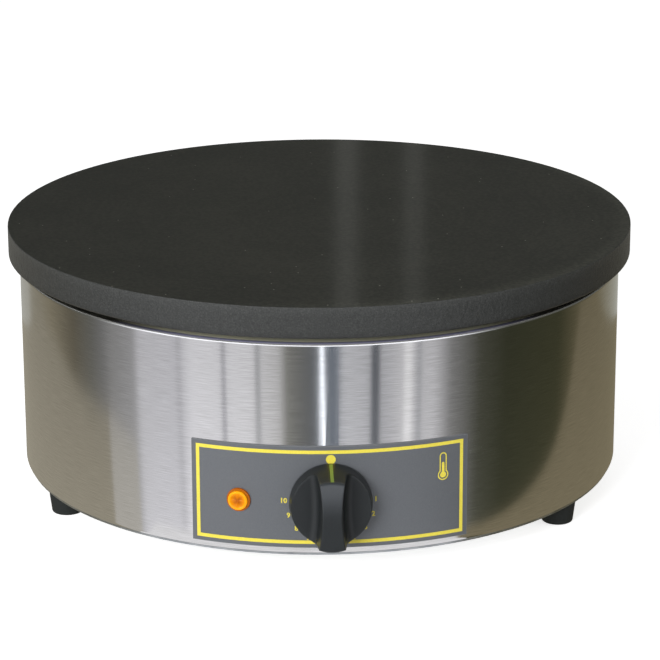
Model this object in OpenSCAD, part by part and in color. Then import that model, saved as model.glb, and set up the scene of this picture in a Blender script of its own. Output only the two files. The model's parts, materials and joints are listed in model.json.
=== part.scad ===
// Electric crepe maker: a cast iron griddle plate on a round steel casing with three feet.
// Origin: on the table, under the centre of the plate. The control knob faces -Y, +Z is up.
// Millimetres. Angles round the casing are counted from the front, towards +X.

/* [Griddle plate] */
// Diameter of the griddle plate
plate_d = 400; // [385:1:415]
// Thickness of the plate inside its rim
plate_t = 13; // [11:0.5:15]
// Height of the plate's rim
rim_h = 19.5; // [17:0.5:23]
// Width of the thickened rim
rim_w = 10; // [8:0.5:12]
// Radius of the rim's upper edge
rim_edge_r = 0.8; // [0.4:0.1:1.2]
// Bevel on the rim's lower edge
rim_bevel = 1.3; // [0.6:0.1:2]
// Radius where the cast underside meets rim and bosses
cast_r = 3; // [2:0.5:4]
// Clear height between casing and plate
plate_gap = 4.8; // [3.5:0.1:6]

/* [Casing] */
// How far the plate reaches past the casing
plate_overhang = 7; // [5:0.5:10]
// Height of the casing
casing_h = 132.5; // [128:0.5:145]
// Thickness of the casing's sheet
sheet_t = 1; // [0.8:0.1:1.2]
// Outer radius of the casing's folds
fold_r = 2.2; // [1.8:0.1:3]
// Width of the folded top edge
top_fold_w = 27; // [26:0.5:30]
// Width of the folded bottom edge
bottom_fold_w = 23; // [21:0.5:26]
// Thickness of the ring under the top fold
ring_t = 3; // [2:0.5:4]

/* [Base plate and feet] */
// Thickness of the base plate
base_t = 1.2; // [1:0.1:2]
// How far the base plate stays back from the casing's wall
base_inset = 1.5; // [1:0.1:2]
// Number of vent slots in the base plate
vent_count = 24; // [12:1:32]
// Length of a vent slot
vent_l = 38; // [25:1:45]
// Width of a vent slot
vent_w = 5; // [3:0.5:6]
// Distance from the centre to the inner end of a vent slot
vent_start = 52; // [48:1:60]
// Height of a foot
foot_h = 14.3; // [12:0.1:20]
// Diameter of a foot at the table
foot_d_low = 19.5; // [18:0.5:21]
// Diameter of a foot at the base plate
foot_d_high = 23; // [21:0.5:24]
// Radius of a foot's lower edge
foot_edge_r = 1.5; // [0.5:0.1:2]
// Distance of the feet from the casing's wall
foot_inset = 13.6; // [13:0.1:14.5]
// Angle of the right foot from the front
foot_angle = 54.4; // [45:0.1:65]

/* [Control panel] */
// Width of the panel along the casing
panel_w = 170; // [160:1:190]
// Height of the panel
panel_h = 64.4; // [60:0.1:75]
// Height of the panel's lower edge over the casing's
panel_rise = 4.3; // [3:0.1:8]
// Thickness of the panel
panel_t = 0.8; // [0.4:0.1:1]
// Distance of the lamp from the knob along the casing
lamp_offset = 55.3; // [48:0.1:65]
// Height of the lamp and the knob over the casing's lower edge
control_rise = 33.3; // [31:0.1:40]

/* [Knob] */
// Diameter of the knob at its skirt
knob_d = 50; // [46:0.5:54]
// Depth of the knob
knob_h = 25; // [23:0.5:28]
// Taper of the knob's side, in degrees
knob_taper = 6.8; // [4:0.1:8]
// Radius of the knob's front edge
knob_edge_r = 1.2; // [0.6:0.1:1.6]
// Height of the scoop's floor at the grip
scoop_floor = 7.4; // [7:0.1:9]
// Radius of the hollow side of the grip, seen from the front
scoop_r = 120; // [90:1:160]
// Radius at the root of the grip
scoop_fillet = 5; // [3:0.5:6]
// Slope of the scoop's floor and of the grip's side, in degrees
scoop_slope = 6; // [4:0.5:7]
// Width of the grip's front at its middle
grip_w = 11.6; // [10:0.1:13]
// How much the grip widens from its top to its bottom, as an angle
grip_spread = 1.3; // [0:0.1:2]
// Wall of the hollow knob
knob_wall = 2.2; // [1.8:0.1:2.6]
// Clear gap between panel and knob
knob_gap = 1; // [0.6:0.1:1.6]
// Width of the pointer line
pointer_w = 2; // [1.5:0.1:2.5]
// Depth of the pointer line's groove
pointer_t = 0.8; // [0.6:0.1:1]

/* [Thermostat] */
// Diameter of the thermostat's spindle
spindle_d = 6; // [5.5:0.1:6.5]
// Clearance round the spindle in its bore
spindle_clear = 0.05; // [0.03:0.01:0.08]
// Depth of the flat on the spindle
spindle_flat = 1.5; // [1.2:0.1:1.8]
// Diameter of the neck round the spindle
neck_d = 10; // [9:0.1:11]
// Width and height of the thermostat's body
thermostat_w = 46; // [42:1:50]
// Depth of the thermostat's body
thermostat_l = 28; // [26:1:34]
// Distance between the thermostat's two fixing screws
thermostat_pitch = 28; // [26:0.5:30]
// Clear gap between the thermostat's body and its bracket's lips
bracket_gap = 2.5; // [1:0.5:4]
// Thickness of the thermostat's bracket
bracket_t = 1.5; // [1:0.1:2]
// Diameter of the sensing bulb
bulb_d = 6; // [5:0.5:7]
// Length of the sensing bulb
bulb_l = 88; // [70:1:90]
// Diameter of the capillary tube
capillary_d = 2; // [1.6:0.1:2.4]

/* [Pilot lamp] */
// Diameter of the lens's flange
lens_d = 14.6; // [13:0.1:16]
// Height of the lens over the panel
lens_h = 4.6; // [3.5:0.1:6]
// Diameter of the lamp's barrel
barrel_d = 10; // [9:0.1:11]
// Length of the lamp's barrel behind the panel
barrel_l = 26; // [22:1:32]

/* [Heating] */
// Diameter of a heating element's tube
tube_d = 8; // [6.5:0.5:8.5]
// Distance between two neighbouring element rings
ring_pitch = 45; // [42:1:46]
// Radius of the bend at an element's ends
bend_r = 10; // [9:0.5:11]
// Distance between the two legs of an element
leg_gap = 24; // [20:1:26]
// Distance of the outer ring from the tray's wall
ring_margin = 10; // [8:0.5:12]
// Width of a clamp bar
bar_w = 20; // [16:1:22]
// Thickness of a clamp bar
bar_t = 4; // [3:0.5:5]
// Thickness of the insulation pad
pad_t = 14; // [10:1:18]
// Thickness of the reflector tray's sheet
tray_t = 0.8; // [0.6:0.1:1]
// Height of the reflector tray's wall
tray_h = 19; // [15:0.5:20]
// Clear gap between the tray and the casing's top fold
tray_clear = 6; // [5:0.5:8]

/* [Rear] */
// Height of the cable gland over the casing's lower edge
gland_rise = 30; // [26:1:40]
// Thread diameter of the cable gland
gland_d = 20; // [18:0.5:22]
// Width across the flats of the gland's hexagons
gland_flats = 24; // [23:0.5:27]
// Bore of the gland's seal
cord_bore_d = 9; // [8:0.1:10]
// Length of the gland's cap nut
cap_l = 21; // [18:0.5:24]

/* [Hidden] */
$fn = 96;
eps = 0.01;

// Clearances
seat_gap = 0.15;   // pieces that press lightly on each other
screw_clear = 0.2; // shank in a threaded hole, on the diameter
hole_clear = 0.6;  // shank in a plain hole, on the diameter

// Heights, from the table up
casing_z = foot_h + base_t;
casing_top = casing_z + casing_h;
plate_z = casing_top + plate_gap;
plate_top = plate_z + rim_h;
slab_z = plate_top - plate_t;
control_z = casing_z + control_rise;
gland_z = casing_z + gland_rise;

// Radii
plate_r = plate_d / 2;
casing_r = plate_r - plate_overhang;
inner_r = casing_r - sheet_t;
top_fold_r = casing_r - top_fold_w;
bottom_fold_r = casing_r - bottom_fold_w;
face_r = casing_r + panel_t;
foot_r = casing_r - foot_inset;

// Plate fixings: three bolts through ring, fold and spacer
spacer_inset = 15;
spacer_d = 14;
boss_d = 26;
plate_bolt_d = 8;
plate_bolt_l = 18;
plate_bolt_flats = 13;
plate_bolt_head = 5.3;
plate_washer_d = 16;
plate_washer_t = 1.6;
boss_hole_l = 10;
spacer_r = casing_r - spacer_inset;
spacer_angles = [60, 180, 300];

// Small screws
m4_d = 4;
m4_head_d = 8;
m4_head_h = 2.4;
m4_nut_flats = 7;
m4_nut_h = 3;
base_screw_l = 8;
m5_d = 5;
m5_head_d = 9;
m5_head_h = 3;
m5_nut_flats = 8;
m5_nut_h = 4;
m6_d = 6;
m6_nut_flats = 10;
m6_nut_h = 5.2;

// Heating: three rings, three clamp bars with two studs each
tray_r = top_fold_r - tray_clear;
ring_r = [for (i = [0:2]) tray_r - ring_margin - i * ring_pitch];
tube_z = slab_z - seat_gap - tube_d / 2;
bar_z = slab_z - 2 * seat_gap - tube_d - bar_t;
pad_clear = 0.5;
pad_z = bar_z - m6_nut_h - pad_clear - pad_t;
tray_z = pad_z - tray_t;
stud_rest = 2;
stud_z = tray_z - m6_nut_h - stud_rest;
stud_boss_d = 14;
stud_boss_h = 5;
stud_grip = 8;
bar_angles = [75, 195, 315];
bar_start = ring_r[2] - 22;
bar_end = ring_r[0] + 12;
stud_r = [(ring_r[0] + ring_r[1]) / 2, (ring_r[1] + ring_r[2]) / 2];
leg_drop = 14;
leg_z = tray_z - leg_drop;
bead_d = 8;
bead_h = 5;
pin_d = 4;
pin_l = 14;
bus_w = 10;
bus_t = 1;
bus_z = leg_z - bead_h - m4_nut_h - bus_t;
pin_z = leg_z - pin_l;
leg_hole_d = tube_d + 2;

// Thermostat, behind the front wall
bracket_w = thermostat_w + 2 * (bracket_t + bracket_gap);
bracket_y = -(sqrt(pow(inner_r, 2) - pow(bracket_w / 2, 2)) - seat_gap);
bracket_lip = 8;
body_y = bracket_y + bracket_t;
body_back = body_y + thermostat_l;
spindle_seat = body_y + 20;
spindle_end_gap = 0.5;
blade_w = 6.3;
blade_t = 0.8;
blade_l = 8;
blade_x = 12;
blade_rise = 14;
bulb_shift = 7.5;
bulb_y = -(stud_r[1] - bulb_shift);
bulb_z = slab_z - seat_gap - bulb_d / 2;
clip_x = 25;
clip_w = 10;
clip_t = 1;
clip_tab = 10;

// Knob: its back plane, and the spindle's grip in it
knob_y = -(face_r + knob_gap);
knob_hub_d = 14;
knob_bore_l = 17;
knob_hollow_h = 4.6;
knob_rib_t = 1.6;
knob_rib_back = 2.2;
clip_spring_t = 0.5;
clip_spring_w = 4;
clip_spring_l = 11;
spring_clear = 0.05;
pointer_proud = 0.08;
pointer_start = 1;

// Lamp
lamp_angle = -lamp_offset / casing_r * 180 / PI;
lens_flange = 1.4;
lens_edge_r = 1.4;
lens_body_d = lens_d - 1.4;
lens_wall = 1.5;
lamp_nut_flats = 14;
lamp_nut_h = 4;
lamp_blade_l = 6;
lamp_blade_w = 2.8;
lamp_blade_t = 0.8;
lamp_pole = 2.5;

// Terminal block and earth stud, on the base plate
block_inset = 65;
block_y = casing_r - block_inset;
block_w = 40;
block_l = 24;
block_h = 20;
block_ear = 8;
block_ear_h = 4;
block_pole = 12;
block_bore_d = 4;
block_bore_rise = 8;
block_screw_l = 7;
block_screw_back = 6;
earth_x = 44;
earth_inset = 55;
earth_y = casing_r - earth_inset;
earth_l = 13;
lug_d = 9;
lug_t = 1;

// Gland: hexagon flange outside, lock nut inside
gland_flange = 5;
gland_barrel = 9;
gland_bore = 12;
gland_neck_d = 17;
gland_neck_l = 10;
gland_nut_h = 4;
seal_d = 14;
seal_l = 14;
gland_y = casing_r + eps;
cap_y = gland_y + gland_flange + 0.5;
cap_lip = 1.5;

// Colours
iron = "#2b2c29";
steel = "#b9b9b6";
zinc = "#a7abae";
black = "#25282a";
yellow = "#ece04a";

// Leads: hand-chosen points between ends that follow their terminals
lead_d = 2.8;
lamp_lead_d = 2;
leg_x = ring_r[0];
blade_end = body_back + blade_l + 0.3;
live_route = [
  [-block_pole, block_y - 9, casing_z + block_bore_rise],
  [-block_pole, block_y - 15, casing_z + block_bore_rise],
  [-block_pole, block_y - 22, casing_z + block_bore_rise],
  [-34, 70, 27], [-42, 0, 25], [-40, -70, 27], [-24, -118, 44],
  [-blade_x, blade_end + 14, control_z + blade_rise],
  [-blade_x, blade_end, control_z + blade_rise]
];
switched_route = [
  [blade_x, blade_end, control_z + blade_rise],
  [blade_x, blade_end + 14, control_z + blade_rise],
  [50, -100, 66], [110, -55, 72],
  [leg_point(0, -1)[0], leg_point(0, -1)[1], pin_z - 16],
  [leg_point(0, -1)[0], leg_point(0, -1)[1], pin_z - 0.3]
];
neutral_route = [
  [0, block_y - 9, casing_z + block_bore_rise],
  [0, block_y - 15, casing_z + block_bore_rise],
  [0, block_y - 22, casing_z + block_bore_rise],
  [40, 78, 36], [104, 46, 66],
  [leg_point(0, 1)[0], leg_point(0, 1)[1], pin_z - 16],
  [leg_point(0, 1)[0], leg_point(0, 1)[1], pin_z - 0.3]
];
earth_route = [
  [block_pole, block_y - 9, casing_z + block_bore_rise],
  [block_pole, block_y - 15, casing_z + block_bore_rise],
  [block_pole, block_y - 22, casing_z + block_bore_rise],
  [26, block_y - 32, 24], [38, block_y - 22, 23],
  [earth_x, earth_y - 16, earth_lug_z() + lug_t / 2],
  [earth_x, earth_y - lug_d / 2 + 0.5, earth_lug_z() + lug_t / 2]
];
capillary_hole = [-bulb_l / 2 - 14, bulb_y + 9];
capillary_hole_d = 7;
capillary_route = [
  [0, body_y + 14, control_z + thermostat_w / 2 + 0.2],
  [0, body_y + 14, control_z + thermostat_w / 2 + 10],
  [-14, -150, 98], [-38, -104, 106],
  [capillary_hole[0], capillary_hole[1], tray_z - 12],
  [capillary_hole[0], capillary_hole[1], tray_z + 8],
  [capillary_hole[0], capillary_hole[1], bar_z - 2],
  [capillary_hole[0] + 4, bulb_y + 4, bulb_z - 2],
  [-bulb_l / 2 - 5, bulb_y, bulb_z],
  [-bulb_l / 2 - 0.2, bulb_y, bulb_z]
];

// Where a leg of ring i stands, on its side of the X axis
function leg_angle(i) = asin((leg_gap / 2 + bend_r) / ring_r[i]);
function leg_point(i, side) = let (a = leg_angle(i)) [
  ring_r[i] * cos(a) + bend_r * sin(a),
  side * (ring_r[i] * sin(a) - bend_r * cos(a))
];
function earth_lug_z() = casing_z + m5_nut_h;

// ---- Helpers

// Puts the children at a radius and an angle from the front
module around(radius, angle) {
  rotate([0, 0, angle]) translate([0, -radius, 0]) children();
}

// A hexagon prism, as a nut or a bolt head, standing on z = 0
module hexagon(flats, height) {
  cylinder(d = flats / cos(30), h = height, $fn = 6);
}

module nut(flats, height, bore) {
  difference() {
    hexagon(flats, height);
    translate([0, 0, -1]) cylinder(d = bore, h = height + 2);
  }
}

// A pan head screw: head below z = 0, shank upwards
module pan_screw(shank_d, length, head_d, head_h) {
  cylinder(d = shank_d, h = length);
  rotate_extrude() polygon([
    [0, 0], [head_d / 2, 0], [head_d / 2, -head_h * 0.5],
    [head_d / 2 - head_h * 0.35, -head_h], [0, -head_h]
  ]);
}

// Points of an arc round a centre, between two angles
function arc(centre, radius, start, end, count) = [
  for (i = [0:count]) let (a = start + (end - start) * i / count) centre + radius * [cos(a), sin(a)]
];

// A round tube through a smooth curve on the route's points; side keeps its rings from twisting
module tube(route, diameter, side) {
  steps = 4;
  sides = 8;
  last = len(route) - 1;
  spine = [
    for (i = [0:last - 1]) for (k = [0:steps - 1]) curve_point(route, i, k / steps),
    route[last]
  ];
  count = len(spine);
  points = [
    for (i = [0:count - 1])
      let (
        along = i == 0 ? unit(route[1] - route[0])
          : i == count - 1 ? unit(route[last] - route[last - 1])
          : unit(spine[i + 1] - spine[i - 1]),
        across = unit(cross(along, side)),
        third = cross(along, across)
      )
      for (j = [0:sides - 1])
        let (a = 360 * j / sides)
        spine[i] + diameter / 2 * (cos(a) * across + sin(a) * third)
  ];
  walls = [
    for (i = [0:count - 2]) for (j = [0:sides - 1])
      let (n = (j + 1) % sides, low = i * sides, high = (i + 1) * sides)
      each [[low + j, high + j, low + n], [low + n, high + j, high + n]]
  ];
  ends = [
    [for (j = [0:sides - 1]) j],
    [for (j = [sides - 1:-1:0]) (count - 1) * sides + j]
  ];
  polyhedron(points, concat(walls, ends));
}

function unit(v) = v / norm(v);
function curve_point(route, i, t) =
  let (
    last = len(route) - 1,
    a = route[max(i - 1, 0)],
    b = route[i],
    c = route[min(i + 1, last)],
    d = route[min(i + 2, last)]
  )
  0.5 * (2 * b + (c - a) * t + (2 * a - 5 * b + 4 * c - d) * t * t
    + (3 * b - a - 3 * c + d) * t * t * t);

// ---- Griddle plate and what carries it

module plate_profile() {
  top_edge = [plate_r - rim_edge_r, plate_top - rim_edge_r];
  rim_root = [plate_r - rim_w - cast_r, slab_z - cast_r];
  polygon([
    [0, slab_z],
    each arc(rim_root, cast_r, 90, 0, 6),
    [plate_r - rim_w, plate_z], [plate_r - rim_bevel, plate_z], [plate_r, plate_z + rim_bevel],
    each arc(top_edge, rim_edge_r, 0, 90, 6),
    [0, plate_top]
  ]);
}

module griddle_plate() {
  color(iron) difference() {
    union() {
      rotate_extrude($fn = 192) plate_profile();
      for (a = spacer_angles) around(spacer_r, a)
        translate([0, 0, plate_z]) cylinder(d = boss_d, h = slab_z - plate_z + 1);
      for (a = bar_angles) for (r = stud_r) rotate([0, 0, a])
        translate([r, 0, slab_z - stud_boss_h]) cylinder(d = stud_boss_d, h = stud_boss_h + 1);
    }
    for (a = spacer_angles) around(spacer_r, a)
      translate([0, 0, plate_z - 1]) cylinder(d = plate_bolt_d + screw_clear, h = boss_hole_l + 1);
    for (a = bar_angles) for (r = stud_r) rotate([0, 0, a])
      translate([r, 0, slab_z - stud_boss_h - 1])
        cylinder(d = m6_d + screw_clear, h = stud_boss_h + stud_grip + 1);
    for (x = [-clip_x, clip_x])
      translate([x, bulb_y - bulb_d / 2 - clip_t - clip_tab / 2, slab_z - 1])
        cylinder(d = m4_d + screw_clear, h = 8);
  }
}

module plate_spacers() {
  color(zinc) for (a = spacer_angles) around(spacer_r, a) translate([0, 0, casing_top])
    difference() {
      cylinder(d = spacer_d, h = plate_gap);
      translate([0, 0, -1]) cylinder(d = plate_bolt_d + hole_clear, h = plate_gap + 2);
    }
}

module plate_bolts() {
  color(zinc) for (a = spacer_angles) around(spacer_r, a)
    translate([0, 0, casing_top - sheet_t - ring_t - plate_washer_t]) {
      cylinder(d = plate_bolt_d, h = plate_gap + sheet_t + ring_t + plate_washer_t + boss_hole_l - 2);
      translate([0, 0, -plate_bolt_head]) hexagon(plate_bolt_flats, plate_bolt_head);
    }
}

module plate_washers() {
  color(zinc) for (a = spacer_angles) around(spacer_r, a)
    translate([0, 0, casing_top - sheet_t - ring_t - plate_washer_t])
      difference() {
        cylinder(d = plate_washer_d, h = plate_washer_t);
        translate([0, 0, -1]) cylinder(d = plate_bolt_d + hole_clear, h = plate_washer_t + 2);
      }
}

module support_ring() {
  color(zinc) difference() {
    translate([0, 0, casing_top - sheet_t - ring_t]) difference() {
      cylinder(r = inner_r - fold_r, h = ring_t, $fn = 192);
      translate([0, 0, -1]) cylinder(r = top_fold_r, h = ring_t + 2, $fn = 192);
    }
    for (a = spacer_angles) around(spacer_r, a)
      translate([0, 0, casing_top - sheet_t - ring_t - 1])
        cylinder(d = plate_bolt_d + hole_clear, h = ring_t + 2);
  }
}

// ---- Heating

// Half of a ring: an arc, the bend at its end, a leg and its pin
module element_half(i) {
  overlap = 0.05;
  rotate([0, 0, leg_angle(i)]) {
    rotate_extrude(angle = 180 - leg_angle(i) + overlap, $fn = 144)
      translate([ring_r[i], 0]) circle(d = tube_d, $fn = 32);
    translate([ring_r[i], 0, -bend_r]) {
      rotate([90, 0, -90]) rotate_extrude(angle = 90)
        translate([bend_r, 0]) circle(d = tube_d, $fn = 32);
      translate([0, -bend_r, leg_z - tube_z + bend_r])
        cylinder(d = tube_d, h = tube_z - bend_r - leg_z, $fn = 32);
      translate([0, -bend_r, pin_z - tube_z + bend_r]) cylinder(d = pin_d, h = pin_l + 1, $fn = 32);
    }
  }
}

// One ring: an open circle whose ends turn down into two legs
module heating_element(i) {
  color("#5d5a57") translate([0, 0, tube_z]) {
    element_half(i);
    mirror([0, 1, 0]) element_half(i);
  }
}

// Puts the children at each of the six legs
module at_legs() {
  for (i = [0:2]) for (side = [-1, 1])
    translate([leg_point(i, side)[0], leg_point(i, side)[1], 0]) children();
}

module terminal_beads() {
  color("#e9e4da") at_legs() translate([0, 0, leg_z - bead_h]) difference() {
    cylinder(d = bead_d, h = bead_h);
    translate([0, 0, -1]) cylinder(d = pin_d + screw_clear, h = bead_h + 2);
  }
}

module terminal_nuts() {
  color("#c8a44b") at_legs() {
    translate([0, 0, bus_z + bus_t]) nut(m4_nut_flats, m4_nut_h, pin_d + screw_clear);
    translate([0, 0, bus_z - m4_nut_h]) nut(m4_nut_flats, m4_nut_h, pin_d + screw_clear);
  }
}

// Two brass strips: one joins the rings' live ends, the other their neutral ends
module bus_bars() {
  color("#c8a44b") difference() {
    for (side = [-1, 1])
      translate([ring_r[2] - bus_w, side * (leg_gap / 2 + 0.3) - bus_w / 2, bus_z])
        cube([ring_r[0] - ring_r[2] + 2 * bus_w, bus_w, bus_t]);
    at_legs() translate([0, 0, bus_z - 1]) cylinder(d = pin_d + hole_clear, h = bus_t + 2);
  }
}

module clamp_bars() {
  color(zinc) for (a = bar_angles) rotate([0, 0, a]) difference() {
    translate([bar_start, -bar_w / 2, bar_z]) cube([bar_end - bar_start, bar_w, bar_t]);
    for (r = stud_r) translate([r, 0, bar_z - 1]) cylinder(d = m6_d + hole_clear, h = bar_t + 2);
  }
}

// Puts the children at each of the six studs
module at_studs() {
  for (a = bar_angles) for (r = stud_r) rotate([0, 0, a]) translate([r, 0, 0]) children();
}

module clamp_studs() {
  color(zinc) at_studs() translate([0, 0, stud_z])
    cylinder(d = m6_d, h = slab_z + stud_grip - 1 - stud_z);
}

module clamp_nuts() {
  color(zinc) at_studs() translate([0, 0, bar_z - m6_nut_h])
    nut(m6_nut_flats, m6_nut_h, m6_d + screw_clear);
}

module tray_nuts() {
  color(zinc) at_studs() translate([0, 0, tray_z - m6_nut_h])
    nut(m6_nut_flats, m6_nut_h, m6_d + screw_clear);
}

// Holes through pad and tray for the studs, the legs and the capillary tube
module pad_holes(bottom, height) {
  translate([0, 0, bottom]) {
    at_studs() cylinder(d = m6_d + hole_clear, h = height);
    at_legs() cylinder(d = leg_hole_d, h = height);
    translate([capillary_hole[0], capillary_hole[1], 0]) cylinder(d = capillary_hole_d, h = height);
  }
}

module insulation_pad() {
  color("#e8dfcc") difference() {
    translate([0, 0, pad_z]) cylinder(r = tray_r - tray_t - 0.3, h = pad_t, $fn = 144);
    pad_holes(pad_z - 1, pad_t + 2);
  }
}

module reflector_tray() {
  color(steel) difference() {
    translate([0, 0, tray_z]) cylinder(r = tray_r, h = tray_h, $fn = 144);
    translate([0, 0, tray_z + tray_t]) cylinder(r = tray_r - tray_t, h = tray_h, $fn = 144);
    pad_holes(tray_z - 1, tray_t + 2);
  }
}

// ---- Casing, base plate and feet

// Half section of the casing: a wall with a rounded fold at each end
module casing_profile() {
  wall_x = casing_r - sheet_t;
  translate([wall_x, casing_z + fold_r]) square([sheet_t, casing_h - 2 * fold_r]);
  translate([top_fold_r, casing_top - sheet_t]) square([casing_r - fold_r - top_fold_r, sheet_t]);
  translate([bottom_fold_r, casing_z]) square([casing_r - fold_r - bottom_fold_r, sheet_t]);
  for (end = [[casing_z + fold_r, -1], [casing_top - fold_r, 1]])
    translate([casing_r - fold_r, end[0]]) intersection() {
      difference() {
        circle(r = fold_r);
        circle(r = fold_r - sheet_t);
      }
      translate([0, end[1] < 0 ? -fold_r : 0]) square(fold_r);
    }
}

module outer_casing() {
  color(steel) difference() {
    rotate_extrude($fn = 192) casing_profile();
    panel_holes(neck_d + 1, m4_d + hole_clear, barrel_d + 0.4);
    translate([0, casing_r - 10, gland_z]) rotate([-90, 0, 0]) cylinder(d = gland_d + 0.4, h = 20);
    for (a = spacer_angles) around(spacer_r, a)
      translate([0, 0, casing_top - 2]) cylinder(d = plate_bolt_d + hole_clear, h = 4);
    base_holes();
  }
}

// Holes through the front wall: spindle neck, two thermostat screws and the lamp
module panel_holes(neck_hole, screw_hole, lamp_hole) {
  half = thermostat_pitch / 2;
  for (hole = [[0, neck_hole], [-half, screw_hole], [half, screw_hole]])
    translate([hole[0], -casing_r + 12, control_z]) rotate([90, 0, 0]) cylinder(d = hole[1], h = 20);
  around(casing_r - 12, lamp_angle) translate([0, 0, control_z]) rotate([90, 0, 0])
    cylinder(d = lamp_hole, h = 20);
}

foot_angles = [foot_angle - 120, foot_angle, foot_angle + 120];
screw_angles = [for (a = foot_angles) each [a + 40, a + 80]];

// Holes shared by the base plate and the casing's bottom fold
module base_holes() {
  for (a = foot_angles) around(foot_r, a) translate([0, 0, foot_h - 1])
    cylinder(d = m5_d + hole_clear, h = base_t + sheet_t + 2);
  for (a = screw_angles) around(foot_r, a) translate([0, 0, foot_h - 1])
    cylinder(d = m4_d + screw_clear, h = base_t + sheet_t + 2);
}

module base_plate() {
  color(zinc) difference() {
    translate([0, 0, foot_h]) cylinder(r = casing_r - base_inset, h = base_t, $fn = 192);
    base_holes();
    for (i = [0:vent_count - 1]) rotate([0, 0, 360 * i / vent_count])
      translate([vent_start, 0, foot_h - 1]) linear_extrude(base_t + 2) {
        translate([vent_w / 2, -vent_w / 2]) square([vent_l - vent_w, vent_w]);
        for (x = [vent_w / 2, vent_l - vent_w / 2]) translate([x, 0]) circle(d = vent_w, $fn = 24);
      }
    for (x = [-1, 1]) translate([x * (block_w + block_ear) / 2, block_y, foot_h - 1])
      cylinder(d = m4_d + screw_clear, h = base_t + 2);
    translate([earth_x, earth_y, foot_h - 1]) cylinder(d = m5_d + screw_clear, h = base_t + 2);
  }
}

module base_screws() {
  color(zinc) for (a = screw_angles) around(foot_r, a) translate([0, 0, foot_h])
    pan_screw(m4_d, base_screw_l, m4_head_d, m4_head_h);
}

foot_well_d = 11;
foot_well_h = 6.5;
foot_washer_t = 1;

// A tapered rubber foot with a screw well from below
module foot(angle) {
  slope = (foot_d_high - foot_d_low) / 2 / foot_h;
  color(black) around(foot_r, angle) difference() {
    rotate_extrude() {
      polygon([
        [0, 0], [foot_d_low / 2 - foot_edge_r, 0],
        [foot_d_low / 2 + slope * foot_edge_r, foot_edge_r],
        [foot_d_high / 2, foot_h], [0, foot_h]
      ]);
      translate([foot_d_low / 2 + slope * foot_edge_r - foot_edge_r, foot_edge_r]) circle(r = foot_edge_r);
    }
    translate([0, 0, -1]) cylinder(d = foot_well_d, h = foot_well_h + 1);
    cylinder(d = m5_d + 0.4, h = foot_h + 1);
  }
}

module foot_screws() {
  color(zinc) for (a = foot_angles) around(foot_r, a) translate([0, 0, foot_well_h - foot_washer_t])
    pan_screw(m5_d, foot_h - foot_well_h + foot_washer_t + base_t + sheet_t + m5_nut_h + 1,
      m5_head_d, m5_head_h);
}

module foot_washers() {
  color(zinc) for (a = foot_angles) around(foot_r, a) translate([0, 0, foot_well_h - foot_washer_t])
    difference() {
      cylinder(d = foot_well_d - 0.6, h = foot_washer_t);
      translate([0, 0, -1]) cylinder(d = m5_d + 0.4, h = foot_washer_t + 2);
    }
}

module foot_nuts() {
  color(zinc) for (a = foot_angles) around(foot_r, a) translate([0, 0, casing_z + sheet_t])
    nut(m5_nut_flats, m5_nut_h, m5_d + screw_clear);
}

// ---- Control panel and pilot lamp

module control_panel() {
  span = panel_w / casing_r * 180 / PI;
  color("#6d6f72") difference() {
    rotate([0, 0, -90 - span / 2]) rotate_extrude(angle = span, $fn = 192)
      translate([casing_r + eps, casing_z + panel_rise]) square([panel_t - eps, panel_h]);
    panel_holes(neck_d + 1, m4_head_d + 1, barrel_d + 0.4);
  }
}

// Puts the children at the lamp, with +Z out of the panel
module at_lamp() {
  around(face_r + 0.05, lamp_angle) translate([0, 0, control_z]) rotate([90, 0, 0]) children();
}

module pilot_lamp_lens() {
  lens_r = lens_body_d / 2;
  color("#f07d14") at_lamp() difference() {
    rotate_extrude() {
      square([lens_d / 2, lens_flange]);
      square([lens_r, lens_h - lens_edge_r]);
      square([lens_r - lens_edge_r, lens_h]);
      translate([lens_r - lens_edge_r, lens_h - lens_edge_r]) circle(r = lens_edge_r);
    }
    translate([0, 0, -1]) cylinder(d = barrel_d - 1, h = lens_h - lens_wall + 1);
  }
}

module pilot_lamp_body() {
  color("#d9d5cb") at_lamp() {
    translate([0, 0, -barrel_l]) difference() {
      cylinder(d = barrel_d, h = barrel_l - eps);
      translate([0, 0, 4]) cylinder(d = barrel_d - 3, h = barrel_l);
    }
    for (x = [-lamp_pole, lamp_pole])
      translate([x - lamp_blade_t / 2, -lamp_blade_w / 2, -barrel_l - lamp_blade_l])
        cube([lamp_blade_t, lamp_blade_w, lamp_blade_l + 1]);
  }
}

lamp_nut_y = sqrt(pow(inner_r, 2) - pow(lamp_nut_flats / 2 / cos(30), 2)) - 0.05;

module pilot_lamp_nut() {
  color(black) around(lamp_nut_y, lamp_angle) translate([0, 0, control_z]) rotate([-90, 0, 0])
    nut(lamp_nut_flats, lamp_nut_h, barrel_d + screw_clear);
}

// ---- Thermostat

// Puts the children on the spindle's axis at a depth y, with +Z out of the panel
module on_spindle(y) {
  translate([0, y, control_z]) rotate([90, 0, 0]) children();
}

module thermostat_bracket() {
  color(zinc) difference() {
    union() {
      translate([-bracket_w / 2, bracket_y, control_z - bracket_w / 2])
        cube([bracket_w, bracket_t, bracket_w]);
      for (z = [-bracket_w / 2, bracket_w / 2 - bracket_t])
        translate([-bracket_w / 2, bracket_y, control_z + z]) cube([bracket_w, bracket_lip, bracket_t]);
    }
    on_spindle(body_y + 1) {
      cylinder(d = neck_d + 0.4, h = bracket_t + 2);
      for (x = [-1, 1]) translate([x * thermostat_pitch / 2, 0, 0])
        cylinder(d = m4_d + screw_clear, h = bracket_t + 2);
    }
  }
}

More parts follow.
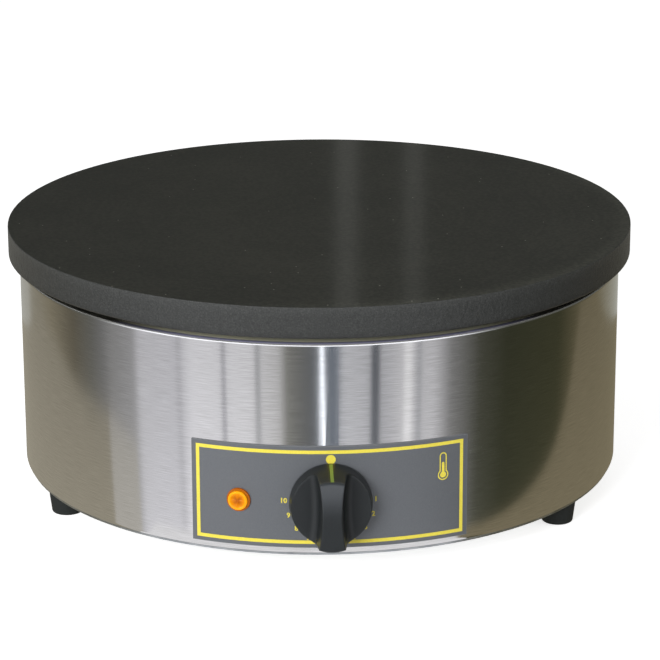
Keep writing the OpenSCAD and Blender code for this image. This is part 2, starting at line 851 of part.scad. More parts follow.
module thermostat_body() {
  color("#cfc9bb") difference() {
    union() {
      translate([-thermostat_w / 2, body_y, control_z - thermostat_w / 2])
        cube([thermostat_w, thermostat_l, thermostat_w]);
      on_spindle(body_y + 1) cylinder(d = neck_d, h = body_y + 1 + face_r - 0.3);
    }
    on_spindle(spindle_seat) cylinder(d = spindle_d + 2 * spindle_clear, h = casing_r);
    for (x = [-1, 1]) translate([x * thermostat_pitch / 2, 0, 0]) on_spindle(body_y + 7)
      cylinder(d = m4_d + screw_clear, h = 8);
  }
}

module thermostat_terminals() {
  color("#c8a44b") for (x = [-blade_x, blade_x]) for (z = [-blade_rise, blade_rise])
    translate([x - blade_w / 2, body_back, control_z + z - blade_t / 2]) cube([blade_w, blade_l, blade_t]);
}

// Screws through the front wall, under the knob
module thermostat_screws() {
  head_y = -sqrt(pow(casing_r, 2) - pow(thermostat_pitch / 2 - m4_head_d / 2, 2)) - 0.05;
  color(zinc) for (x = [-1, 1]) translate([x * thermostat_pitch / 2, head_y, control_z])
    rotate([-90, 0, 0]) pan_screw(m4_d, body_y + 6 - head_y, m4_head_d, 1.8);
}

module thermostat_spindle() {
  shaft_l = spindle_seat - spindle_end_gap - knob_y + knob_bore_l - 0.5;
  grip_l = knob_bore_l;
  color(steel) on_spindle(spindle_seat - spindle_end_gap) difference() {
    cylinder(d = spindle_d, h = shaft_l, $fn = 48);
    translate([-spindle_d / 2, spindle_d / 2 - spindle_flat, shaft_l - grip_l])
      cube([spindle_d, spindle_d, grip_l + 1]);
  }
}

// The sensing bulb, under the plate between two rings
module thermostat_bulb() {
  color(steel) translate([-bulb_l / 2, bulb_y, bulb_z]) rotate([0, 90, 0]) {
    translate([0, 0, bulb_d / 2]) cylinder(d = bulb_d, h = bulb_l - bulb_d, $fn = 48);
    for (z = [bulb_d / 2, bulb_l - bulb_d / 2]) translate([0, 0, z]) sphere(d = bulb_d, $fn = 48);
  }
}

// Saddles that hold the bulb to the plate
module bulb_clips() {
  inner = bulb_d / 2 + seat_gap;
  outer = inner + clip_t;
  top = slab_z - bulb_z;
  color(steel) for (x = [-clip_x, clip_x]) translate([x - clip_w / 2, bulb_y, bulb_z]) difference() {
    rotate([90, 0, 90]) linear_extrude(clip_w) {
      difference() {
        circle(r = outer);
        circle(r = inner);
        translate([-outer - 1, 0]) square([2 * outer + 2, outer + 1]);
      }
      for (side = [-outer, inner]) translate([side, 0]) square([clip_t, top]);
      translate([-inner - clip_tab, top - clip_t]) square([clip_tab - clip_t / 2, clip_t]);
    }
    translate([clip_w / 2, -bulb_d / 2 - clip_t - clip_tab / 2, top - clip_t - 1])
      cylinder(d = m4_d + screw_clear, h = clip_t + 2);
  }
}

module bulb_clip_screws() {
  color(zinc) for (x = [-clip_x, clip_x])
    translate([x, bulb_y - bulb_d / 2 - clip_t - clip_tab / 2, slab_z - clip_t])
      pan_screw(m4_d, clip_t + 6, m4_head_d - 1, m4_head_h);
}

module capillary_tube() {
  color("#b87348") tube(capillary_route, capillary_d, [1, 0.4, 0.1]);
}

// ---- Knob

// Solid of the knob before its scoops: a taper with a rounded front edge, +Z to the front
module knob_blank(grow) {
  base_r = knob_d / 2 + grow;
  edge_z = knob_h - knob_edge_r;
  edge_x = base_r - (knob_edge_r + edge_z * sin(knob_taper)) / cos(knob_taper);
  rotate([0, 0, 90]) rotate_extrude($fn = 128) polygon([
    [0, 0], [base_r, 0],
    each arc([edge_x, edge_z], knob_edge_r, knob_taper, 90, 8),
    [0, knob_h]
  ]);
}

// One finger scoop, left of the grip: a slice turned about a far axis, with a rounded root
module knob_scoop() {
  reach = 30;
  turn = 20;
  root_w = grip_w / 2 + (knob_h - scoop_floor) * tan(scoop_slope);
  rotate([0, 0, -grip_spread / 2]) translate([-scoop_r - root_w, 0, 0]) rotate([0, 0, -turn])
    rotate_extrude(angle = 2 * turn, $fn = 256) translate([scoop_r, scoop_floor]) rotate(-scoop_slope)
      polygon([
        [-reach, 0],
        each arc([-scoop_fillet, scoop_fillet], scoop_fillet, -90, 0, 12),
        [0, reach], [-reach, reach]
      ]);
}

// The strip that the pointer fills, from the skirt to the front
module pointer_strip(width, grow) {
  intersection() {
    difference() {
      knob_blank(grow);
      translate([0, 0, -1]) cylinder(r1 = knob_d / 2 - pointer_t + sin(knob_taper),
        r2 = knob_d / 2 - pointer_t - (knob_h + 1) * tan(knob_taper), h = knob_h + 2, $fn = 128);
    }
    translate([-width / 2, 5, pointer_start])
      cube([width, knob_d, knob_h - knob_edge_r - pointer_start]);
  }
}

module control_knob() {
  hollow_r = knob_d / 2 - knob_wall;
  bore_r = spindle_d / 2 + 0.05;
  flat_y = spindle_d / 2 - spindle_flat + clip_spring_t + 2 * spring_clear;
  color(black) on_spindle(knob_y) difference() {
    knob_blank(0);
    knob_scoop();
    mirror([1, 0, 0]) knob_scoop();
    pointer_strip(pointer_w, 0.5);
    difference() {
      translate([0, 0, -1]) cylinder(r = hollow_r, h = knob_hollow_h + 1, $fn = 96);
      translate([0, 0, -2]) cylinder(d = knob_hub_d, h = knob_hollow_h + 3);
      for (a = [0, 60, 120]) rotate([0, 0, a + 30])
        translate([-hollow_r - 1, -knob_rib_t / 2, knob_rib_back])
          cube([2 * hollow_r + 2, knob_rib_t, knob_hollow_h]);
    }
    intersection() {
      translate([0, 0, -1]) cylinder(r = bore_r, h = knob_bore_l + 1, $fn = 48);
      translate([-bore_r, -bore_r, -2]) cube([2 * bore_r, bore_r + flat_y, knob_bore_l + 3]);
    }
  }
}

module knob_pointer() {
  color(yellow) on_spindle(knob_y) pointer_strip(pointer_w, pointer_proud);
}

// The leaf between the spindle's flat and the knob's bore
module knob_spring_clip() {
  flat_y = spindle_d / 2 - spindle_flat;
  color(steel) on_spindle(knob_y)
    translate([-clip_spring_w / 2, flat_y + spring_clear, knob_bore_l - clip_spring_l - 1])
      cube([clip_spring_w, clip_spring_t, clip_spring_l]);
}

// ---- Terminal block, earth and leads

module terminal_block() {
  color("#e3ded2") translate([0, block_y, casing_z]) difference() {
    union() {
      translate([-block_w / 2, -block_l / 2, 0]) cube([block_w, block_l, block_h]);
      for (side = [-1, 1]) translate([side * block_w / 2 + (side > 0 ? 0 : -block_ear), -block_l / 4, 0])
        cube([block_ear, block_l / 2, block_ear_h]);
    }
    for (x = [-block_pole, 0, block_pole]) translate([x, -block_l, block_bore_rise]) rotate([-90, 0, 0])
      cylinder(d = block_bore_d, h = 2 * block_l, $fn = 32);
    for (x = [-block_pole, 0, block_pole]) for (y = [-block_screw_back, block_screw_back])
      translate([x, y, block_bore_rise]) cylinder(d = m4_d + screw_clear, h = block_h, $fn = 32);
    for (side = [-1, 1]) translate([side * (block_w + block_ear) / 2, 0, -1])
      cylinder(d = m4_d + hole_clear, h = block_ear_h + 2, $fn = 32);
  }
}

module terminal_screws() {
  color("#c8a44b") for (x = [-block_pole, 0, block_pole]) for (y = [-block_screw_back, block_screw_back])
    translate([x, block_y + y, casing_z + block_bore_rise + block_bore_d / 2]) difference() {
      cylinder(d = m4_d, h = block_screw_l, $fn = 32);
      translate([-m4_d, -0.4, block_screw_l - 1]) cube([2 * m4_d, 0.8, 2]);
    }
}

module terminal_block_screws() {
  color(zinc) for (side = [-1, 1])
    translate([side * (block_w + block_ear) / 2, block_y, casing_z + block_ear_h])
      rotate([180, 0, 0]) pan_screw(m4_d, block_ear_h + base_t + 2, m4_head_d - 1, m4_head_h);
}

module earth_stud() {
  color("#c8a44b") translate([earth_x, earth_y, foot_h])
    pan_screw(m5_d, base_t + earth_l, m5_head_d, m5_head_h);
}

module earth_nuts() {
  color("#c8a44b") for (z = [casing_z, earth_lug_z() + lug_t]) translate([earth_x, earth_y, z])
    nut(m5_nut_flats, m5_nut_h, m5_d + screw_clear);
}

module live_lead() {
  color("#7a4a2c") tube(live_route, lead_d, [0.2, 0.1, 1]);
}

module switched_lead() {
  color("#30343a") tube(switched_route, lead_d, [0.7, -0.7, 0.1]);
}

module neutral_lead() {
  color("#3f6fb3") tube(neutral_route, lead_d, [0.7, 0.7, 0.1]);
}

module earth_lead() {
  color("#7da23a") {
    tube(earth_route, lead_d, [0.2, 0.1, 1]);
    translate([earth_x, earth_y, earth_lug_z()]) difference() {
      cylinder(d = lug_d, h = lug_t);
      translate([0, 0, -1]) cylinder(d = m5_d + screw_clear, h = lug_t + 2);
    }
  }
}

// From the lamp's two blades to the thermostat's lower blades
module lamp_leads() {
  start_r = face_r - barrel_l - lamp_blade_l - 0.3;
  color("#c9cdd1") for (side = [-1, 1]) {
    foot_point = [
      sin(lamp_angle) * start_r + side * lamp_pole * cos(lamp_angle),
      -cos(lamp_angle) * start_r + side * lamp_pole * sin(lamp_angle)
    ];
    tube([
      [foot_point[0], foot_point[1], control_z],
      [foot_point[0] + 2, foot_point[1] + 8, control_z + side],
      [-28 + side * 6, -128 - side * 2, 36 + side],
      [side * blade_x, blade_end + 9, control_z - blade_rise],
      [side * blade_x, blade_end, control_z - blade_rise]
    ], lamp_lead_d, [0.1, 0.1, 1]);
  }
}

// ---- Cable gland

// Puts the children on the gland's axis at a depth y, with +Z out of the rear wall
module at_gland(y) {
  translate([0, y, gland_z]) rotate([-90, 0, 0]) children();
}

module cable_gland_body() {
  color(black) at_gland(gland_y) difference() {
    union() {
      hexagon(gland_flats, gland_flange);
      translate([0, 0, -gland_barrel]) cylinder(d = gland_d, h = gland_barrel + 1);
      cylinder(d = gland_neck_d, h = gland_flange + gland_neck_l);
    }
    translate([0, 0, -gland_barrel - 1]) cylinder(d = gland_bore, h = gland_barrel + gland_flange + 4);
    translate([0, 0, gland_flange + 2]) cylinder(d = seal_d + 0.4, h = gland_neck_l);
  }
}

module cable_gland_seal() {
  color("#3a3d40") at_gland(gland_y + gland_flange + 2) difference() {
    cylinder(d = seal_d, h = seal_l);
    translate([0, 0, -1]) cylinder(d = cord_bore_d, h = seal_l + 2);
  }
}

module cable_gland_cap() {
  color(black) at_gland(cap_y) difference() {
    intersection() {
      hexagon(gland_flats, cap_l);
      rotate_extrude() polygon([
        [0, 0], [gland_flats / 2 + 1.8, 0], [gland_flats / 2 + 1.8, cap_l - 8],
        [gland_flats / 2 - 1, cap_l - 4], [gland_flats / 2 - 4, cap_l], [0, cap_l]
      ]);
    }
    translate([0, 0, -1]) cylinder(d = gland_neck_d + 0.4, h = gland_neck_l + 1);
    translate([0, 0, gland_neck_l - 1]) cylinder(d = seal_d + 0.4, h = seal_l - gland_neck_l + 2.6);
    cylinder(d = seal_d - cap_lip, h = cap_l + 1);
  }
}

module cable_gland_locknut() {
  flat_y = sqrt(pow(inner_r, 2) - pow(gland_flats / 2 / cos(30), 2)) - 0.05;
  color(black) at_gland(flat_y - gland_nut_h) nut(gland_flats, gland_nut_h, gland_d + screw_clear);
}

griddle_plate();
plate_spacers();
plate_bolts();
plate_washers();
support_ring();
heating_element(0);  // heating_element_outer
heating_element(1);  // heating_element_middle
heating_element(2);  // heating_element_inner
terminal_beads();
terminal_nuts();
bus_bars();
clamp_bars();
clamp_studs();
clamp_nuts();
insulation_pad();
reflector_tray();
tray_nuts();
outer_casing();
base_plate();
base_screws();
foot(foot_angles[0]);  // foot_left
foot(foot_angles[1]);  // foot_right
foot(foot_angles[2]);  // foot_rear
foot_screws();
foot_washers();
foot_nuts();
control_panel();
pilot_lamp_lens();
pilot_lamp_body();
pilot_lamp_nut();
thermostat_body();
thermostat_bracket();
thermostat_screws();
thermostat_terminals();
thermostat_spindle();
control_knob();
knob_pointer();
knob_spring_clip();
thermostat_bulb();
bulb_clips();
bulb_clip_screws();
capillary_tube();
terminal_block();
terminal_screws();
terminal_block_screws();
earth_stud();
earth_nuts();
cable_gland_body();
cable_gland_seal();
cable_gland_cap();
cable_gland_locknut();
live_lead();
switched_lead();
neutral_lead();
earth_lead();
lamp_leads();
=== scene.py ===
# %% [markdown]
# # An electric crepe maker
# A crepe maker is a heavy round plate of cast iron on a drum of brushed steel.
# A thermostat knob and a pilot lamp sit on a printed panel that is wrapped round the drum's front.
# This notebook dresses the finished construction: its solids stay where they are, and each
# finish, print and small fitting is made here, in metres, round the same origin.
# The origin is on the table, under the middle of the plate. The knob faces -Y and +Z is up.

# %% Load the construction
import json
import math

import bmesh
import bpy
from mathutils import Matrix, Vector


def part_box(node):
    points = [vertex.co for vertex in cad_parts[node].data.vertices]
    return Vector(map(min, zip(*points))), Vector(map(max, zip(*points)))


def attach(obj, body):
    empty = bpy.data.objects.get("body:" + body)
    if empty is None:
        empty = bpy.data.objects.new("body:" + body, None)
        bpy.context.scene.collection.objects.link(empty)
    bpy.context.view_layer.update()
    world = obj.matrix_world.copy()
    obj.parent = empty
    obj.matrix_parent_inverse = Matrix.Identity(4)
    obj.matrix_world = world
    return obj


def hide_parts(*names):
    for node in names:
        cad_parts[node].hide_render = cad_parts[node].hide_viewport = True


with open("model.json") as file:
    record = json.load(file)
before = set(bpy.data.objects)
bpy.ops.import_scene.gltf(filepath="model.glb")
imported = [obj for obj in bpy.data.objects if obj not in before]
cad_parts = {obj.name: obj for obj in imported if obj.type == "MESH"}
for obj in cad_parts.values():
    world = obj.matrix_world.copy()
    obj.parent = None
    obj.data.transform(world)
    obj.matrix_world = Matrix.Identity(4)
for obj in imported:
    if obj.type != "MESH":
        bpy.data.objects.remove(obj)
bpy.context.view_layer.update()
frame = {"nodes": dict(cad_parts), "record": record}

# %% [markdown]
# ## The sizes that the dressing follows
# Every print and trim follows the drum, so its radius and heights are read from the solids
# and not typed again. Only what is drawn here gets a size here.

# %% Places read from the solids
MM = 0.001
panel_low, panel_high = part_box("control_panel")
casing_low, casing_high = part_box("outer_casing")
plate_low, plate_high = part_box("griddle_plate")
knob_low, knob_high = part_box("control_knob")
FACE_R = -panel_low.y
CASING_R = -casing_low.y
PLATE_R = plate_high.x
PLATE_TOP = plate_high.z
CONTROL_Z = (knob_low.z + knob_high.z) / 2
gland_low, gland_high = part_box("cable_gland_cap")
GLAND_Z = (gland_low.z + gland_high.z) / 2
PANEL_HALF = math.asin(panel_high.x / FACE_R) * FACE_R
lens_low, lens_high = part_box("pilot_lamp_lens")
LENS_R = (lens_high.z - lens_low.z) / 2 / MM


def on_ring(radius, degrees_from_front, height):
    """A place on a ring, turned from the front (-Y) towards +X."""
    turn = math.radians(degrees_from_front)
    return Vector((radius * math.sin(turn), -radius * math.cos(turn), height))


print(f"drum radius {CASING_R:.4f}, panel face radius {FACE_R:.4f}, knob axis at z {CONTROL_Z:.4f}")

# %% [markdown]
# ## The camera
# The portrait is taken from about two metres, a little above the plate, with a long lens.
# The machine stands turned by two degrees on its table, so the camera's place is worked out
# in front of an unturned machine and then carried round with it.

# %% Camera
CAMERA_BACK = 1.8377
CAMERA_OVER_PLATE = 0.5131
CAMERA_PITCH = math.radians(17.83)
CAMERA_YAW = math.radians(0.21)
CAMERA_ROLL = math.radians(-0.183)
MACHINE_TURN = math.radians(-1.85)
FOCAL_PIXELS = 2956.1
FRAME_PIXELS = 660
SENSOR_MM = 36
FAR_CLIP = 50


def into_scene(name, data):
    """A new object that holds the data, linked into the scene."""
    made = bpy.data.objects.new(name, data)
    bpy.context.scene.collection.objects.link(made)
    return made


def place_camera():
    """Aim a long lens at the machine from its front."""
    forward = Vector(
        (
            math.sin(CAMERA_YAW) * math.cos(CAMERA_PITCH),
            math.cos(CAMERA_YAW) * math.cos(CAMERA_PITCH),
            -math.sin(CAMERA_PITCH),
        )
    )
    level = Vector((math.cos(CAMERA_YAW), -math.sin(CAMERA_YAW), 0))
    upward = level.cross(forward)
    right = math.cos(CAMERA_ROLL) * level + math.sin(CAMERA_ROLL) * upward
    top = -math.sin(CAMERA_ROLL) * level + math.cos(CAMERA_ROLL) * upward
    turned = Matrix((right, top, -forward)).transposed().to_4x4()
    turned.translation = Vector((0, -CAMERA_BACK, PLATE_TOP + CAMERA_OVER_PLATE))
    data = bpy.data.cameras.new("portrait")
    data.sensor_width = SENSOR_MM
    data.lens = FOCAL_PIXELS / FRAME_PIXELS * SENSOR_MM
    data.clip_end = FAR_CLIP
    camera = into_scene("portrait", data)
    camera.matrix_world = Matrix.Rotation(MACHINE_TURN, 4, "Z") @ turned
    bpy.context.scene.camera = camera
    return camera


portrait = place_camera()
print("camera at", [round(v, 3) for v in portrait.location], "lens", round(portrait.data.lens, 1), "mm")

# %% [markdown]
# ## Helpers
# A node tree gets long when each node takes four lines, so one function adds a node, sets it
# and wires it. Where a node stands for an input, its first output is meant, and any other
# output is named. Colours are written as the hex values that a paint program shows, and one
# function turns them to the linear light that the renderer counts in. The settings that come
# back most often have names: a smooth step, and two ways to mix colours.

# %% Helpers for colours and nodes
WHITE = (1, 1, 1, 1)
SMOOTH = {"interpolation_type": "SMOOTHSTEP"}
RGBA = {"data_type": "RGBA"}
TIMES = {"data_type": "RGBA", "blend_type": "MULTIPLY"}


def linear(hex_code):
    """Turn an sRGB hex colour such as '6d6f72' to linear RGBA."""
    parts = [int(hex_code[i : i + 2], 16) / 255 for i in (0, 2, 4)]
    return tuple(p / 12.92 if p <= 0.04045 else ((p + 0.055) / 1.055) ** 2.4 for p in parts) + (1,)


def span(low, high, start=0.0, end=1.0):
    """A range and what it is mapped onto, for the inputs of a Map Range node."""
    return {"From Min": low, "From Max": high, "To Min": start, "To Max": end}


def wire(tree, node, inputs):
    """Set a node's inputs, each to a value, a socket, or another node's first output."""
    for name, value in inputs.items():
        if isinstance(value, bpy.types.Node):
            value = value.outputs[0]
        if isinstance(value, bpy.types.NodeSocket):
            tree.links.new(value, node.inputs[name])
        else:
            node.inputs[name].default_value = value


def add(tree, kind, inputs=None, stops=None, **settings):
    """Add a node with its settings and inputs; stops fill a colour ramp."""
    made = tree.nodes.new(kind)
    for name, value in settings.items():
        setattr(made, name, value)
    wire(tree, made, inputs or {})
    for i, (place, colour) in enumerate(stops or []):
        ramp = made.color_ramp
        stop = ramp.elements[i] if i < len(ramp.elements) else ramp.elements.new(place)
        stop.position = place
        stop.color = colour
    return made


def start_material(name, shader_values):
    """A new material: its tree, its shader and the object coordinates."""
    material = bpy.data.materials.new(name)
    material.use_nodes = True
    tree = material.node_tree
    shader = tree.nodes["Principled BSDF"]
    wire(tree, shader, shader_values)
    place = add(tree, "ShaderNodeTexCoord").outputs["Object"]
    print("finish:", name)
    return material, tree, shader, place


print("mid grey, as light:", round(linear("808080")[0], 3))

# %% [markdown]
# ## The studio
# Brushed steel has no colour of its own: it shows what stands round it. On a drum, each
# upright line of the wall mirrors one direction of the room, so the room is painted once as
# a ring of tones round the horizon, and only glossy rays see it. Its bright fields are soft
# boxes, its dark ones are the gaps between them, and the thin lines are their frames and one
# tube light. Over the horizon the room is dim. The strip of lamps there draws the bright line
# along the drum's upper fold, and two posts behind the machine show in the oiled plate.
# All other rays meet an even white light, and the camera meets white.

# %% The ring of tones that the steel mirrors
# degrees from the front (-Y) towards +X, and the tone of the room there
ROOM_TONES = [
    (-180, (0.42, 0.42, 0.39)),
    (-150, (0.45, 0.44, 0.39)),
    (-143, (0.33, 0.31, 0.25)),
    (-125, (0.28, 0.25, 0.18)),
    (-108, (0.15, 0.135, 0.10)),
    (-97, (0.165, 0.165, 0.15)),
    (-91, (0.22, 0.22, 0.22)),
    (-87, (0.31, 0.31, 0.31)),
    (-76, (0.40, 0.40, 0.41)),
    (-73, (0.70, 0.70, 0.74)),
    (-55, (0.72, 0.72, 0.77)),
    (-51, (0.92, 0.92, 0.97)),
    (-28, (0.88, 0.88, 0.92)),
    (-17, (0.66, 0.66, 0.67)),
    (-14, (0.26, 0.26, 0.24)),
    (-6, (0.15, 0.155, 0.16)),
    (4, (0.17, 0.20, 0.25)),
    (7, (0.68, 0.69, 0.73)),
    (23, (0.57, 0.575, 0.61)),
    (28, (0.70, 0.70, 0.73)),
    (41, (0.68, 0.68, 0.71)),
    (48, (0.26, 0.26, 0.26)),
    (60, (0.075, 0.077, 0.058)),
    (72, (0.045, 0.047, 0.028)),
    (100, (0.055, 0.055, 0.03)),
    (125, (0.20, 0.17, 0.10)),
    (148, (0.35, 0.34, 0.28)),
    (166, (0.43, 0.43, 0.39)),
    (180, (0.50, 0.50, 0.47)),
]
# thin upright frames and one tube light: direction, half width in degrees, tone
ROOM_LINES = [
    (-55.8, 1.6, (0.60, 0.60, 0.64)),
    (-37.8, 1.2, (0.42, 0.42, 0.46)),
    (-24.8, 1.4, (0.45, 0.46, 0.48)),
    (-1.1, 0.8, (2.9, 3.05, 3.3)),
    (18.6, 2.3, (0.09, 0.10, 0.12)),
    (31.0, 2.2, (1.05, 1.05, 1.08)),
    (35.2, 1.4, (0.45, 0.46, 0.49)),
]
print("ring:", len(ROOM_TONES), "tones and", len(ROOM_LINES), "lines")

# %% What stands over the horizon
# a dim room and two narrow posts behind the machine
ROOM_ABOVE = (0.15, 0.154, 0.138)
ABOVE_FADE = 0.2
ROOM_POSTS = [(177.6, 0.30, (0.85, 0.86, 0.80)), (176.25, 0.26, (0.70, 0.71, 0.66))]
# the strip of lamps: its heights and their soft edges, its middle, and where its ends fade
LAMP_STRIP = (2.0, 2.04, 2.15)
STRIP_LOW, STRIP_LOW_EDGE = 0.05, 0.015
STRIP_HIGH, STRIP_HIGH_EDGE = 0.5, 0.03
STRIP_CENTRE = -12.0
STRIP_FADE = (50.0, 86.0)
# the share of a line's half width that has its full tone
LINE_CORE = 0.4


def upright_line(tree, degrees, centre, half, below, level):
    """Blend an upright line of the room over the tone below it."""
    away = add(tree, "ShaderNodeMath", {0: degrees, 1: centre}, operation="SUBTRACT")
    size = add(tree, "ShaderNodeMath", {0: away}, operation="ABSOLUTE")
    core = span(half * LINE_CORE, half, 1.0, 0.0)
    mask = add(tree, "ShaderNodeMapRange", {"Value": size, **core}, **SMOOTH)
    mixed = add(tree, "ShaderNodeMix", {0: mask, 6: below, 7: (*level, 1)}, **RGBA)
    return mixed.outputs[2]


def lamp_strip(tree, height, degrees):
    """How much of the strip of lamps stands in a direction: one inside it, nothing outside."""
    low = span(STRIP_LOW - STRIP_LOW_EDGE, STRIP_LOW + STRIP_LOW_EDGE)
    high = span(STRIP_HIGH - STRIP_HIGH_EDGE, STRIP_HIGH + STRIP_HIGH_EDGE, 1.0, 0.0)
    away = add(tree, "ShaderNodeMath", {0: degrees, 1: STRIP_CENTRE}, operation="SUBTRACT")
    away = add(tree, "ShaderNodeMath", {0: away}, operation="ABSOLUTE")
    strip = 1.0
    for value, edge in ((height, low), (height, high), (away, span(*STRIP_FADE, 1.0, 0.0))):
        step = add(tree, "ShaderNodeMapRange", {"Value": value, **edge}, **SMOOTH)
        strip = add(tree, "ShaderNodeMath", {0: step, 1: strip}, operation="MULTIPLY")
    return strip


print("lamp strip:", 2 * STRIP_FADE[0], "degrees at full light")


# %% The room
EVEN_LIGHT = 0.35


def room_tone(tree):
    """The tone that a glossy ray finds in its direction."""
    direction = add(tree, "ShaderNodeTexCoord").outputs["Generated"]
    axes = add(tree, "ShaderNodeSeparateXYZ", {"Vector": direction})
    front = add(tree, "ShaderNodeMath", {0: axes.outputs["Y"], 1: -1.0}, operation="MULTIPLY")
    angle = add(tree, "ShaderNodeMath", {0: axes.outputs["X"], 1: front}, operation="ARCTAN2")
    degrees = add(tree, "ShaderNodeMath", {0: angle}, operation="DEGREES")
    share = add(tree, "ShaderNodeMapRange", {"Value": degrees, **span(-180.0, 180.0)})
    ring = add(
        tree,
        "ShaderNodeValToRGB",
        {"Fac": share},
        stops=[((a + 180) / 360, (*tone, 1)) for a, tone in ROOM_TONES],
    )
    low_tone = ring.outputs["Color"]
    for centre, half, level in ROOM_LINES:
        low_tone = upright_line(tree, degrees, centre, half, low_tone, level)
    high_tone = (*ROOM_ABOVE, 1)
    for centre, half, level in ROOM_POSTS:
        high_tone = upright_line(tree, degrees, centre, half, high_tone, level)
    height = axes.outputs["Z"]
    above = add(tree, "ShaderNodeMapRange", {"Value": height, **span(0.0, ABOVE_FADE)}, **SMOOTH)
    tone = add(tree, "ShaderNodeMix", {0: above, 6: low_tone, 7: high_tone}, **RGBA)
    strip = lamp_strip(tree, height, degrees)
    tone = add(tree, "ShaderNodeMix", {0: strip, 6: tone.outputs[2], 7: (*LAMP_STRIP, 1)}, **RGBA)
    return tone.outputs[2]


def build_room():
    """Fill the world: white for the camera, tones for glossy rays, even light for the rest."""
    world = bpy.data.worlds.new("studio")
    world.use_nodes = True
    bpy.context.scene.world = world
    tree = world.node_tree
    tree.nodes.clear()
    ring_light = add(tree, "ShaderNodeBackground", {"Color": room_tone(tree), "Strength": 1.0})
    even_light = add(tree, "ShaderNodeBackground", {"Color": WHITE, "Strength": EVEN_LIGHT})
    white = add(tree, "ShaderNodeBackground", {"Color": WHITE, "Strength": 1.0})
    rays = add(tree, "ShaderNodeLightPath")
    mirrored = add(
        tree,
        "ShaderNodeMixShader",
        {0: rays.outputs["Is Glossy Ray"], 1: even_light, 2: ring_light},
    )
    through = add(
        tree,
        "ShaderNodeMath",
        {0: rays.outputs["Is Camera Ray"], 1: rays.outputs["Is Transmission Ray"]},
        operation="MAXIMUM",
    )
    shown = add(tree, "ShaderNodeMixShader", {0: through, 1: mirrored, 2: white})
    add(tree, "ShaderNodeOutputWorld", {"Surface": shown})
    return world


print("room:", len(build_room().node_tree.nodes), "nodes")

# %% [markdown]
# ## The table and what lies on it
# The table is a pale sheet. It keeps a soft shadow, and to the camera it is white. Glossy rays
# pass through it to the room's ring, apart from what the steel needs to mirror: warm boards
# left and right of the machine, whose edges show as the long curves on its sides, a pale one
# at the front left, and a white paper under its front, which lights the strip below the panel.
# The camera doesn't see them.

# %% Table
TABLE_HALF = 6.0
TABLE_GLOW = 0.72
TABLE_PAINT = (0.8, 0.8, 0.8, 1)


def flat_sheet(name, corners, height):
    """A flat sheet through the given corners."""
    mesh = bpy.data.meshes.new(name)
    mesh.from_pydata([(x, y, height) for x, y in corners], [], [tuple(range(len(corners)))])
    return into_scene(name, mesh)


def bare_material(name):
    """A material with an empty tree."""
    material = bpy.data.materials.new(name)
    material.use_nodes = True
    material.node_tree.nodes.clear()
    return material, material.node_tree


def lay_table():
    """A pale table top that glows a little for the camera."""
    half = TABLE_HALF
    table = flat_sheet("table_top", [(-half, -half), (half, -half), (half, half), (-half, half)], 0.0)
    material, tree = bare_material("pale_table")
    rays = add(tree, "ShaderNodeLightPath")
    paint = add(tree, "ShaderNodeBsdfDiffuse", {"Color": TABLE_PAINT})
    glow = add(tree, "ShaderNodeEmission", {"Color": WHITE, "Strength": TABLE_GLOW})
    seen = add(tree, "ShaderNodeAddShader", {0: paint, 1: glow})
    surface = add(tree, "ShaderNodeMixShader", {0: rays.outputs["Is Camera Ray"], 1: paint, 2: seen})
    add(tree, "ShaderNodeOutputMaterial", {"Surface": surface})
    table.data.materials.append(material)
    table.visible_glossy = False
    return table


lay_table()
print("table:", 2 * TABLE_HALF, "m wide")

# %% Boards and paper
BOARD_HEIGHT, SHEET_HEIGHT = 0.0004, 0.0007
BOARD_RIGHT = [
    (0.09, -0.225), (0.138, -0.192), (0.215, -0.151), (0.565, 0.05), (0.7, 0.134),
    (0.7, 0.22), (0.45, 0.25), (0.35, 0.29), (0.15, 0.38), (0.15, 0.0),
]
BOARD_LEFT = [
    (-0.12, -0.143), (-0.395, -0.143), (-0.525, 0.122), (-0.522, 0.21), (-0.53, 0.255),
    (-0.45, 0.262), (-0.4, 0.275), (-0.33, 0.3), (-0.15, 0.38), (-0.15, 0.0),
]
BOARD_FRONT = [(-0.12, -0.143), (-0.395, -0.143), (-0.345, -0.183), (-0.305, -0.2025), (-0.105, -0.155)]
# the paper is an arc round the drum: its turns from the front and its two radii
SHEET_TURNS = range(-40, 29, 4)
SHEET_OUT, SHEET_IN = 0.236, 0.185
SHEET_UNDER = [on_ring(SHEET_OUT, turn, 0)[:2] for turn in SHEET_TURNS]
SHEET_UNDER += [on_ring(SHEET_IN, turn, 0)[:2] for turn in reversed(SHEET_TURNS)]


def lay_board(name, corners, colour, level, height=BOARD_HEIGHT):
    """A board or a paper on the table, seen only in the steel."""
    board = flat_sheet(name, corners, height)
    material, tree = bare_material(name)
    glow = add(tree, "ShaderNodeEmission", {"Color": linear(colour), "Strength": level})
    add(tree, "ShaderNodeOutputMaterial", {"Surface": glow})
    board.data.materials.append(material)
    board.visible_camera = False
    board.visible_diffuse = False
    board.visible_shadow = False
    print(name, len(corners), "corners")
    return board


lay_board("board_right", BOARD_RIGHT, "8a8169", 0.8)
lay_board("board_left", BOARD_LEFT, "a49e8e", 0.87)
lay_board("board_front", BOARD_FRONT, "c0bdb6", 0.88)
lay_board("sheet_under", SHEET_UNDER, "f2f2f5", 0.9, SHEET_HEIGHT)

# %% [markdown]
# ## The lamps
# A large soft box at the front left gives the main light, and a smaller one at the right lifts
# the plate's side there. Both are kept out of glossy rays: the ring of tones has that part.

# %% Lamps
AIM = (0, 0, 0.1)


